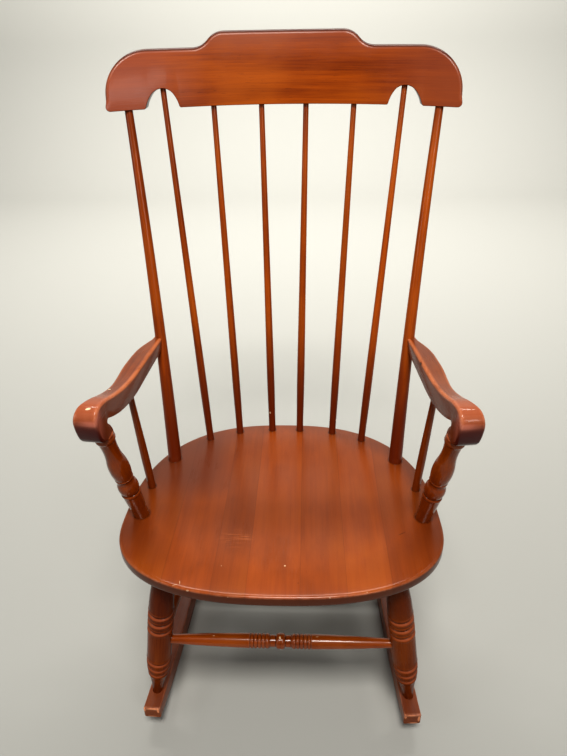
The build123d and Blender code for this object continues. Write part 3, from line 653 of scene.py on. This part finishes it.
class CHAIR_OT_seat(bpy.types.Operator):
    """Dished plank seat, glued up from seven boards"""
    bl_idname = "chair.seat"
    bl_label = "Seat"

    def execute(self, context):
        chips = (((9.8, -256.6, 370), (1.3, 1.3, 4), 0, 0.9),
                 ((-85.2, -258.8, 370.6), (0.6, 1.3, 4), 0, 0.35),
                 ((-141.5, -292.5, 372.7), (0.5, 3.2, 3), 0.2, 0.6),
                 ((-148, -297, 372), (4, 0.7, 3), 0.3, 0.3),
                 ((-128.1, -305.5, 372), (2.2, 0.8, 3), -0.2, 0.35),
                 ((-69.3, -315.5, 372.2), (1.2, 0.7, 2), 0, 0.5), ((42, -95, 368), (0.8, 0.8, 5), 0, 0.4),
                 ((75, -314, 372.2), (1.6, 0.6, 2), 0, 0.35), ((128, -304, 372), (1.2, 0.7, 3), 0, 0.3),
                 ((204, -9, 366), (6.5, 1.6, 4), 0.5, 0.35), ((229, -152, 369), (2.0, 6.0, 4), 0.3, 0.25))
        dents = [((193, -185, 368), (7, 0.7, 5), 0.5, 0.7), ((30, -290, 371), (1.2, 0.8, 4), 0, 0.6)]
        feet = [(POST[0], 13.6, 25), (ARM_SPINDLE[0], 8.4, 25), (Vector((*ARM_POST[1].xy, 366)), 15, 10)]
        for foot, reach, deep in feet + [(spindle[0], 8.4, 25) for spindle in SPINDLES]:
            dents += [((side * foot.x, foot.y, foot.z), (reach, reach, deep), 0, 0.75) for side in (-1, 1)]
        material = stained_wood("stained_seat_boards", bright=0.72, figure=0.42, wear=0.4, haze_and_shade=seat_haze_and_shade,
                                chips=chips, dents=dents, seams=SEAT_SEAMS, gloss=0.06, coat=0.5,
                                coat_blur=0.2)
        blank = ring_by_ring(seat_rings())
        start_clean()
        note_relief(blank, 8.0)
        limits = (-SEAT_WIDTH,) + SEAT_SEAMS + (SEAT_WIDTH,)
        tones = (0.35, 0.6, 0.25, 0.8, 0.5, 0.7, 0.3)
        for number, (left, right, tone) in enumerate(zip(limits, limits[1:], tones), 1):
            board = copied(blank)
            bpy.ops.object.mode_set(mode="EDIT")
            for seam, way in ((left, 1), (right, -1)):
                bpy.ops.mesh.select_all(action="SELECT")
                if abs(seam) < SEAT_WIDTH:
                    bpy.ops.mesh.bisect(plane_co=(seam, 0, 0), plane_no=(way, 0, 0), use_fill=True,
                                        clear_inner=True)
            face_outward()
            shape(board, on_seat, lambda point: point.xzy)
            finish_piece(board, f"seat_board_{number}", material, tone)
        bpy.data.objects.remove(blank)
        return {"FINISHED"}


# ---------------------------------------------------------------- sawn boards
def outward(outline):
    """Unit normals of a closed outline that runs clockwise or not, pointing out of it."""
    area = sum(a.x * b.y - b.x * a.y for a, b in zip(outline, outline[1:] + outline[:1]))
    way = 1 if area > 0 else -1
    normals = []
    for before, here, after in zip(outline[-1:] + outline[:-1], outline, outline[1:] + outline[:1]):
        a, b = (here - before).normalized(), (after - here).normalized()
        normal = Vector((a.y + b.y, -a.x - b.x)) * way
        spread = max(normal.length, 1e-6)
        normals.append(normal / spread / max(spread / 2, 0.75))
    return normals


def sawn(outline, rounds, thickness, cuts):
    """Board sawn to an outline, its two rims rounded by the radii at each point, and cut for bending."""
    normals = outward(outline)
    turns = [(0, math.radians(turn)) for turn in range(0, 91, 18)]
    turns += [(1, turn) for _, turn in reversed(turns)]
    rings = []
    for side, turn in turns:
        ring = []
        for point, normal, radii in zip(outline, normals, rounds):
            deep = radii[side] * (1 - math.cos(turn))
            flat = point - normal * (radii[side] * (1 - math.sin(turn)))
            ring.append(Vector((flat.x, flat.y, thickness - deep if side else deep)))
        rings.append(ring)
    obj = ring_by_ring(rings)
    for place in cuts:
        bpy.ops.mesh.select_all(action="SELECT")
        bpy.ops.mesh.bisect(plane_co=(place, 0, 0), plane_no=(1, 0, 0))
    face_outward()
    return obj


def crest_outline(step=3.0):
    """Front view of the rail with its two notches, from the lower middle to the right and round."""
    drop = CREST_HEIGHT - CREST_SHOULDER
    run = math.sqrt(CREST_SWEEP * drop - drop ** 2 / 4)
    bend = CREST_SWEEP - math.sqrt(CREST_SWEEP ** 2 - run ** 2 / 4)
    end, corner = CREST_HALF - CREST_END, CREST_HALF - CREST_CORNER
    out, back = math.sqrt(0.5), 1 - math.sqrt(0.5)
    left = [(NOTCH_OFFSET - off, up) for off, up in NOTCH]
    right = [(NOTCH_OFFSET + off, up) for off, up in NOTCH]
    chain = (
        (0, 0), None, left[0], None, left[1], left[2], left[3], (NOTCH_OFFSET, NOTCH_RISE), right[3],
        right[2], right[1], None, right[0], None, (corner, 0),
        (CREST_HALF - CREST_CORNER * back, CREST_CORNER * back), (CREST_HALF, CREST_CORNER),
        None, (CREST_HALF, CREST_SHOULDER - CREST_END),
        (end + CREST_END * out, CREST_SHOULDER - CREST_END * back), (end, CREST_SHOULDER),
        None, (CREST_FLAT + 2 * run, CREST_SHOULDER),
        (CREST_FLAT + 1.5 * run, CREST_SHOULDER + bend), (CREST_FLAT + run, CREST_HEIGHT - drop / 2),
        (CREST_FLAT + run / 2, CREST_HEIGHT - bend), (CREST_FLAT, CREST_HEIGHT), None, (0, CREST_HEIGHT))
    points = drawn(segments(chain), step) + [Vector((0, CREST_HEIGHT))]
    return points + [Vector((-point.x, point.y)) for point in reversed(points[1:-1])]


def on_crest(point):
    """Place on the bent, leaning rail of a point in its front view and depth."""
    radius = CREST_BEND - CREST_THICKNESS / 2 + point.z
    back = math.sqrt(radius ** 2 - point.x ** 2) - CREST_BEND
    up = (point.y + back * math.sin(CREST_LEAN)) / math.cos(CREST_LEAN)
    return CREST_ORIGIN + Vector((point.x, back * math.cos(CREST_LEAN) + up * math.sin(CREST_LEAN),
                                  up * math.cos(CREST_LEAN) - back * math.sin(CREST_LEAN)))


def crest_sheen_and_shade(n, colour, patchy):
    """Mauve towards the ends and the top of the rail, a painted sheen on the ends that is paler on the left
    end, and painted shade on the faces turned down and along the top rim and edges.
    """
    across, _, up = n.parts(n.place())
    cloudy = n.times(n.minus(patchy, 0.5), 0.05)
    ends = n.spread(n.plus(n.math("ABSOLUTE", across, 0.0), cloudy), 0.10, 0.27, 0.0, 0.62)
    top = n.spread(n.plus(up, cloudy), 0.995, 1.045, 0.0, 0.5)
    mauve = n.mix(n.spread(across, -0.1, -0.2), CREST_MAUVE_AND_SHEEN, CREST_PALE_SHEEN)
    # partly painted sheen: mauve on the ends and the top, paler on the left end
    colour = n.mix(n.larger(ends, top), colour, mauve)
    upward = n.noted("upward")
    # painted shade on the faces turned down
    colour = n.mix(n.spread(upward, 0.12, -0.3, 0.0, 0.92), colour, CREST_UNDER_SHADE)
    rim = n.larger(n.spread(upward, 0.42, 0.8, 0.0, 0.92), n.spread(n.noted("relief"), 0.45, 0.95, 0.0, 0.8))
    # painted shade along the top rim and the outstanding edges
    return n.mix(rim, colour, CREST_RIM_SHADE)


class CHAIR_OT_crest(bpy.types.Operator):
    """Bent crest rail with a raised middle and two arched notches"""
    bl_idname = "chair.crest"
    bl_label = "Crest rail"

    def execute(self, context):
        outline = crest_outline()
        rounds = []
        for point in outline:
            near_end = abs(point.x) > CREST_HALF - 20
            low, high = (CREST_CORNER, CREST_CORNER + 8) if near_end else (NOTCH_RISE + 6, NOTCH_RISE + 12)
            upper = ease(low, high, point.y)
            rounds.append((CREST_EDGE + CREST_FRONT_ROUND * upper, CREST_EDGE + CREST_BACK_ROUND * upper))
        rail = sawn(outline, rounds, CREST_THICKNESS, range(-276, 277, 12))
        shape(rail, on_crest, along_board)
        material = stained_wood("stained_crest_rail", bright=0.88, figure=0.95, wear=0.35, haze_and_shade=crest_sheen_and_shade,
                                gloss=0.2, coat=0.05)
        finish_piece(rail, "crest_rail", material, 0.62, 6.0)
        return {"FINISHED"}


def arm_sheen_and_shade(n, colour, patchy):
    """Painted mauve sheen over the arm, painted shade on the flanks, the underside and under the roll, a
    painted highlight band across the front of the roll, rubbed edges, and a lighter upper face of the roll.
    """
    _, deep, forward = n.parts(n.noted("grain", "Vector"))
    upward = n.noted("upward")
    # painted sheen: mauve-brown over the whole arm
    colour = n.mix(n.spread(patchy, 0.25, 0.6, 0.72, 0.5), colour, ARM_MAUVE_SHEEN)
    # painted shade on the flanks and the underside
    colour = n.mix(n.spread(upward, 0.45, -0.1, 0.0, 0.55), colour, ARM_FLANK_SHADE)
    colour = n.mix(n.spread(upward, -0.35, -0.8, 0.0, 0.75), colour, ARM_UNDER_SHADE)
    edges = n.plus(n.spread(deep, 0.010, 0.002), n.spread(deep, 0.033, 0.038, 0.0, 0.6))
    edges = n.times(n.times(edges, n.spread(upward, 0.15, 0.6)), n.spread(patchy, 0.3, 0.55, 0.45, 0.85))
    colour = n.mix(edges, colour, ARM_RUBBED)
    # painted shade under the roll
    chin = n.times(n.spread(forward, 0.255, 0.28), n.spread(upward, 0.4, -0.25))
    colour = n.mix(n.times(chin, 0.95), colour, ARM_CHIN_SHADE)
    # painted highlight band across the front of the roll
    highlight_band = n.times(n.spread(upward, -0.12, 0.08), n.spread(upward, 0.5, 0.25))
    ahead = n.times(n.spread(forward, 0.262, 0.28), n.spread(deep, 0.036, 0.008, 0.15, 0.6))
    colour = n.mix(n.times(highlight_band, ahead), colour, ARM_HIGHLIGHT_BAND)
    roll = n.times(n.spread(forward, 0.21, 0.262), n.spread(upward, 0.15, 0.6))
    return n.mix(n.times(roll, 0.7), colour, ARM_ROLL)


def on_arm(point):
    """Place of a point of the arm's side view and depth: the block's far half follows the arm's width."""
    width = smooth(ARM_WIDTHS, point.x)
    out = point.z if point.z < ARM_BLOCK / 2 else width - (ARM_BLOCK - point.z)
    return ARM_ORIGIN + Vector((math.sin(ARM_TOE) * point.x + math.cos(ARM_TOE) * out,
                                math.sin(ARM_TOE) * out - math.cos(ARM_TOE) * point.x, ARM_HEIGHT + point.y))


class CHAIR_OT_arms(bpy.types.Operator):
    """Scroll arms, sawn and rounded"""
    bl_idname = "chair.arms"
    bl_label = "Arms"

    def execute(self, context):
        outline = [Vector((point.x - ARM_REAR_REACH, point.y)) if point.x < 1e-6 else point
                   for point in drawn(segments(ARM_SIDE), 2.6)]
        radii = []
        for point in outline:
            top = point.y > -3.5 and point.x > 3
            front = point.x > 262 and point.y > -34
            radii.append(ARM_ROUND if top or front else ARM_EDGE)
        near = [[radii[(index + step) % len(radii)] for step in range(-2, 3)] for index in range(len(radii))]
        rounds = [(sum(five) / 5, sum(five) / 5) for five in near]
        chips = (((-260.4, -199.3, 612), (3.8, 1.6, 3), 0.15, 1.0),
                 ((-255.6, -121.6, 595.5), (2.2, 1.5, 3), 0, 1.0),
                 ((-256, -207, 611), (2.0, 0.7, 3), 0.6, 0.4))
        dents = (((226.9, -18, 581), (3.4, 4.2, 2.6), 0, 0.8), ((-252, -212, 606), (1.5, 2.4, 3), 0, 0.4))
        material = stained_wood("stained_arms", bright=0.85, wear=0.7, haze_and_shade=arm_sheen_and_shade, chips=chips,
                                dents=dents, gloss=0.1, coat=0.3, polish=0.06)
        arm = sawn(outline, rounds, ARM_BLOCK, range(6, 287, 7))
        shape(arm, on_arm, along_board)
        pair("arm", arm, material, (0.4, 0.55), 6.0)
        return {"FINISHED"}


def rocker_top_sheen(n, colour, patchy):
    """Painted mauve-brown sheen on the upper faces."""
    share = n.times(n.spread(n.noted("upward"), 0.4, 0.9), n.spread(patchy, 0.25, 0.65, 0.25, 0.6))
    return n.mix(share, colour, ROCKER_TOP_SHEEN)


def on_rocker(point):
    """Place of a point of the rocker's side view and depth, on the toed-in rocker."""
    out = point.z - ROCKER_WIDTH / 2
    return ROCKER_ORIGIN + Vector((math.cos(ROCKER_TOE) * out - math.sin(ROCKER_TOE) * point.x,
                                   math.sin(ROCKER_TOE) * out + math.cos(ROCKER_TOE) * point.x, point.y))


class CHAIR_OT_rockers(bpy.types.Operator):
    """Arched rockers"""
    bl_idname = "chair.rockers"
    bl_label = "Rockers"

    def execute(self, context):
        tips = (((-236, -299, 54), (2.4, 2.6, 5), 0, 0.9), ((-212, -300, 53), (2.2, 2.4, 6), 0, 0.9),
                ((-224, -300.5, 57), (11, 2.0, 1.6), 0.05, 0.75),
                ((-224, -300.5, 36), (9, 2.4, 1.6), 0.05, 0.4),
                ((211, -299, 53), (2.6, 2.4, 5), 0, 0.7), ((234, -300, 48), (2.2, 2.4, 8), 0, 0.8),
                ((222, -300.5, 57), (9, 1.8, 1.4), 0, 0.5), ((226, -300.5, 36), (8, 2.2, 1.6), 0, 0.7))
        material = stained_wood("stained_rockers", bright=0.5, wear=1.2, haze_and_shade=rocker_top_sheen, chips=tips,
                                chip_colour=ROCKER_CHIP, gloss=0.16, coat=0.1)
        outline = drawn(segments(ROCKER_SIDE), 6.0)
        rounds = [(ROCKER_ROUND, ROCKER_ROUND)] * len(outline)
        rocker = sawn(outline, rounds, ROCKER_WIDTH, range(-288, 310, 24))
        shape(rocker, on_rocker, along_board)
        pair("rocker", rocker, material, (0.45, 0.6), 7.0)
        return {"FINISHED"}


# ---------------------------------------------------------------- turnings
def foot_darkening(n, colour, patchy):
    """Darker and redder towards the seat and just under the rail."""
    up = n.parts(n.noted("grain", "Vector"))[2]
    share = n.larger(n.spread(up, 0.28, 0.04, 0.0, 0.9), n.spread(up, 0.53, 0.61, 0.0, 0.45))
    return n.mix(share, colour, STICK_FOOT)


class CHAIR_OT_back(bpy.types.Operator):
    """Back posts and back spindles"""
    bl_idname = "chair.back"
    bl_label = "Back"

    def execute(self, context):
        chips = (((38, 128, 480), (1.5, 1.5, 2.2), 0, 0.7), ((-31, 112, 392), (2, 2, 2.6), 0, 0.6),
                 ((100, 103, 381), (2, 2, 1.6), 0, 0.7), ((-96, 104, 372), (2.5, 2.5, 1.5), 0, 0.6))
        material = stained_wood("stained_back_sticks", bright=0.98, wear=0.5, haze_and_shade=foot_darkening, chips=chips)
        post = turned(long_taper(POST_SHAPE), *POST, bow=sizes().post_bow / MM)
        pair("back_post", post, material, (0.5, 0.4))
        for number, axis in enumerate(SPINDLES, 1):
            reach = (axis[1] - axis[0]).length + SPINDLE_TENON
            spindle = turned(long_taper(SPINDLE_SHAPE + ((reach, SPINDLE_TOP),)), *axis)
            pair(f"back_spindle_{number}", spindle, material,
                 (0.3 + 0.13 * number, 0.7 - 0.11 * number))
        return {"FINISHED"}


def arm_post_haze(n, colour, patchy):
    """Darker red-brown varnish, thicker in some places than in others."""
    return n.mix(n.spread(patchy, 0.3, 0.65, 0.65, 0.3), colour, ARM_POST_HAZE)


class CHAIR_OT_arm_posts(bpy.types.Operator):
    """Turned posts and plain spindles under the arms"""
    bl_idname = "chair.arm_posts"
    bl_label = "Arm posts"

    def execute(self, context):
        material = stained_wood("stained_arm_posts", bright=0.72, figure=0.8, wear=0.5, haze_and_shade=arm_post_haze,
                                gloss=0.14, coat=0.6, polish=0.08)
        post = turned(lathe(segments(ARM_POST_TURNING)), *ARM_POST)
        pair("arm_post", post, material, (0.55, 0.5))
        spindle = turned(long_taper(ARM_SPINDLE_SHAPE, 10), *ARM_SPINDLE)
        pair("arm_spindle", spindle, material, (0.35, 0.45))
        return {"FINISHED"}


def leg_rings():
    """Smooth leg with rings cut into it, each with a slight lip on both sides."""
    depth = sizes().groove_depth / MM
    first, last = LEG_SHAPE[0][0], LEG_SHAPE[-1][0]
    places = [first + (last - first) * number / 60 for number in range(61)]
    for groove in LEG_GROOVES:
        places = [place for place in places if abs(place - groove) > GROOVE_REACH + 0.2]
        places += [groove + step * GROOVE_STEP for step in range(-10, 11)]
    rings = []
    for place in sorted(places):
        if rings and place - rings[-1][0] < 0.25:
            continue
        radius = smooth(LEG_SHAPE, place)
        off = min(abs(place - groove) for groove in LEG_GROOVES)
        if off < GROOVE_HALF:
            radius -= depth * (1 - off / GROOVE_HALF) ** 1.3
        elif off < GROOVE_REACH:
            radius += GROOVE_LIP * math.sin(math.pi * (off - GROOVE_HALF) / (GROOVE_REACH - GROOVE_HALF))
        rings.append((place, radius))
    return rings


def leg_shadow_and_highlight(n, colour, patchy):
    """Painted shadow of the seat towards the tops of the legs, and painted highlights on the upper walls of
    the rings.
    """
    up = n.parts(n.noted("grain", "Vector"))[2]
    colour = n.mix(n.spread(up, 0.17, 0.25, 0.0, 0.6), colour, LEG_TOP_SHADOW)
    # painted highlight on the ring walls that face up
    return n.mix(n.spread(n.noted("upward"), 0.2, 0.55, 0.0, 0.6), colour, LEG_RING_HIGHLIGHT)


class CHAIR_OT_legs(bpy.types.Operator):
    """Turned legs with cut rings"""
    bl_idname = "chair.legs"
    bl_label = "Legs"

    def execute(self, context):
        material = stained_wood("stained_legs", bright=0.52, figure=0.9, wear=0.4, haze_and_shade=leg_shadow_and_highlight, gloss=0.07,
                                coat=0.06, polish=0.06)
        pair("front_leg", turned(leg_rings(), *FRONT_LEG), material, (0.5, 0.45))
        pair("rear_leg", turned(leg_rings(), *REAR_LEG), material, (0.35, 0.3))
        return {"FINISHED"}


def swelling(foot, top):
    """Plain stretcher that swells to its middle."""
    length = (top - foot).length
    profile = ((0, STRETCHER_END), (STRETCHER_TENON, STRETCHER_END), (length / 2, STRETCHER_SWELL),
               (length - STRETCHER_TENON, STRETCHER_END), (length, STRETCHER_END))
    rings = [(length * number / 30, smooth(profile, length * number / 30)) for number in range(31)]
    return turned(rings, foot, top)


def ringed(foot, top):
    """Front stretcher: a bead between two coves, then a run of fine rings and a taper on each side."""
    length = (top - foot).length
    right = segments(((0, 12.6), (5.6, 11.9), (8, 9.6), None, (17, 9.6), None, (RING_START, 11.0)))
    edge = RING_START
    for _ in range(RING_COUNT):
        right.append(((edge, RING_FOOT), (edge + RING_WIDTH / 2, RING_RADIUS),
                      (edge + RING_WIDTH, RING_FOOT)))
        edge += RING_WIDTH
    right += segments(((edge, RING_FOOT), None, (edge + 1, 12.0), ((edge + 1 + TAPER_END) / 2, TAPER_MIDDLE),
                       (TAPER_END, STRETCHER_END), None, (length / 2, STRETCHER_END)))
    half = lathe(right, 0.9)
    trimmed = [half[0]]
    for ring in half[1:]:
        needed = 5 if ring[0] > edge + 4 else 0.3
        if ring[0] - trimmed[-1][0] >= needed:
            trimmed.append(ring)
    left = [(-place, radius) for place, radius in reversed(trimmed[1:])]
    return turned([(place + length / 2, radius) for place, radius in left + trimmed], foot, top)


class CHAIR_OT_stretchers(bpy.types.Operator):
    """Stretchers between the legs"""
    bl_idname = "chair.stretchers"
    bl_label = "Stretchers"

    def execute(self, context):
        chips = (((-0.8, -258.5, 201.4), (1.5, 2.2, 3), 0, 1.0), ((60, -255, 200), (2.5, 0.8, 2), 0, 0.5),
                 ((-110, -256, 199), (2, 0.8, 2), 0, 0.4))
        material = stained_wood("stained_stretchers", bright=0.66, wear=0.9, chips=chips, gloss=0.26,
                                coat=0.5, polish=0.08)
        finish_piece(ringed(*FRONT_STRETCHER), "front_stretcher", material, 0.6, 5.0)
        finish_piece(swelling(*REAR_STRETCHER), "rear_stretcher", material, 0.35)
        pair("side_stretcher", swelling(*SIDE_STRETCHER), material, (0.4, 0.3))
        return {"FINISHED"}


# ---------------------------------------------------------------- pins
def joined(pieces):
    """Joins pieces into the first one."""
    start_clean()
    for piece in pieces:
        piece.select_set(True)
    bpy.context.view_layer.objects.active = pieces[0]
    bpy.ops.object.join()
    return bpy.context.object


def pin(centre, way, half, radius):
    """Pin with softly domed ends on a centre point."""
    dome = [(0, 0.55), (0.25, 0.85), (0.6, 1)]
    profile = [(off, radius * share) for off, share in dome]
    profile += [(2 * half - off, radius * share) for off, share in reversed(dome)]
    return turned(profile, centre - way * half, centre + way * half)


class CHAIR_OT_pins(bpy.types.Operator):
    """Wooden pins through the rockers and the crest rail"""
    bl_idname = "chair.pins"
    bl_label = "Pins"

    def execute(self, context):
        material = stained_wood("stained_pins", bright=0.4, wear=0.3)
        across = Vector((math.cos(ROCKER_TOE), math.sin(ROCKER_TOE), 0))
        half = ROCKER_WIDTH / 2 + ROCKER_PIN_STANDS
        right = [pin(centre, across, half, ROCKER_PIN_RADIUS) for centre in ROCKER_PINS]
        pins = joined(right + [left_copy(piece) for piece in right])
        finish_piece(pins, "rocker_pins", material, 0.4)
        side = CREST_PIN.x / CREST_BEND
        back = math.sqrt(1 - side ** 2)
        way = Vector((side, math.cos(CREST_LEAN) * back, -math.sin(CREST_LEAN) * back))
        one = pin(CREST_PIN, way, CREST_PIN_HALF, CREST_PIN_RADIUS)
        finish_piece(joined([one, left_copy(one)]), "crest_pins", material, 0.5)
        return {"FINISHED"}


# ---------------------------------------------------------------- stage
def softbox(name, place, target, size, watts, colour):
    """Square soft light that points at a target."""
    light = bpy.data.lights.new(name, "AREA")
    light.shape = "RECTANGLE"
    light.size, light.size_y = size
    light.energy = watts
    light.color = colour
    obj = bpy.data.objects.new(name, light)
    obj.location = place
    obj.rotation_euler = (Vector(target) - Vector(place)).to_track_quat("-Z", "Y").to_euler()
    bpy.context.scene.collection.objects.link(obj)


def floor_and_wall():
    """Pale floor that curves up at the back into a wall."""
    start_clean()
    bpy.ops.mesh.primitive_plane_add(size=FLOOR_SIZE, location=(0, FLOOR_FORWARD, 0))
    floor = bpy.context.object
    floor.name = "floor"
    bpy.ops.object.transform_apply(location=True, rotation=True, scale=True)
    bpy.ops.object.mode_set(mode="EDIT")
    bpy.ops.mesh.select_mode(type="EDGE")
    bpy.ops.mesh.select_all(action="DESELECT")
    mesh = bmesh.from_edit_mesh(floor.data)
    for edge in mesh.edges:
        edge.select_set(all(vertex.co.y > 0 for vertex in edge.verts))
    bmesh.update_edit_mesh(floor.data)
    turns = [math.pi / 2 * number / COVE_STEPS for number in range(COVE_STEPS + 1)]
    moves = [(0, COVE_RADIUS * (math.sin(after) - math.sin(before)),
              COVE_RADIUS * (math.cos(before) - math.cos(after))) for before, after in zip(turns, turns[1:])]
    for move in moves + [(0, 0, WALL_HEIGHT)]:
        bpy.ops.mesh.extrude_region_move(TRANSFORM_OT_translate={"value": move})
    pick(floor)
    bpy.ops.object.shade_smooth()
    n = Nodes("pale_floor")
    shader = n.add("ShaderNodeBsdfPrincipled", {"Base Color": FLOOR_COLOUR, "Roughness": 0.9})
    n.add("ShaderNodeOutputMaterial", {"Surface": shader.outputs[0]})
    floor.data.materials.append(n.material)


class CHAIR_OT_stage(bpy.types.Operator):
    """Pale floor, soft light and camera"""
    bl_idname = "chair.stage"
    bl_label = "Stage"

    def execute(self, context):
        floor_and_wall()
        scene = context.scene
        scene.world = bpy.data.worlds.new("pale_room")
        scene.world.use_nodes = True
        background = scene.world.node_tree.nodes["Background"]
        background.inputs["Color"].default_value = ROOM_COLOUR
        background.inputs["Strength"].default_value = ROOM_STRENGTH
        for light in LIGHTS:
            softbox(*light)
        camera = bpy.data.cameras.new("camera")
        camera.lens, camera.sensor_width = CAMERA_LENS, CAMERA_SENSOR
        camera.clip_start, camera.clip_end = 0.05, 50
        obj = bpy.data.objects.new("camera", camera)
        obj.location = CAMERA_PLACE
        obj.rotation_euler = [math.radians(turn) for turn in CAMERA_TURN]
        scene.collection.objects.link(obj)
        scene.camera = obj
        scene.view_settings.view_transform = "Standard"
        scene.view_settings.look = "Medium High Contrast"
        return {"FINISHED"}


class CHAIR_PT_panel(bpy.types.Panel):
    """Lists the pieces of the chair"""
    bl_idname = "CHAIR_PT_panel"
    bl_label = "Rocking Chair"
    bl_space_type = "VIEW_3D"
    bl_region_type = "UI"
    bl_category = "Chair"

    def draw(self, context):
        for group in (context.scene.chair_sizes, context.scene.chair_stain):
            for field in group.__annotations__:
                self.layout.prop(group, field)
        for operator in OPERATORS:
            self.layout.operator(operator.bl_idname)


OPERATORS = (CHAIR_OT_seat, CHAIR_OT_crest, CHAIR_OT_arms, CHAIR_OT_back, CHAIR_OT_arm_posts, CHAIR_OT_legs,
             CHAIR_OT_stretchers, CHAIR_OT_rockers, CHAIR_OT_pins, CHAIR_OT_stage)
CLASSES = (ChairSizes, ChairStain) + OPERATORS + (CHAIR_PT_panel,)


def register():
    for item in CLASSES:
        bpy.utils.register_class(item)
    bpy.types.Scene.chair_sizes = PointerProperty(type=ChairSizes)
    bpy.types.Scene.chair_stain = PointerProperty(type=ChairStain)


def unregister():
    del bpy.types.Scene.chair_stain
    del bpy.types.Scene.chair_sizes
    for item in reversed(CLASSES):
        bpy.utils.unregister_class(item)


def main():
    register()
    bpy.ops.chair.seat()
    bpy.ops.chair.crest()
    bpy.ops.chair.arms()
    bpy.ops.chair.back()
    bpy.ops.chair.arm_posts()
    bpy.ops.chair.legs()
    bpy.ops.chair.stretchers()
    bpy.ops.chair.rockers()
    bpy.ops.chair.pins()
    bpy.ops.chair.stage()
    start_clean()


if __name__ == "__main__":
    main()
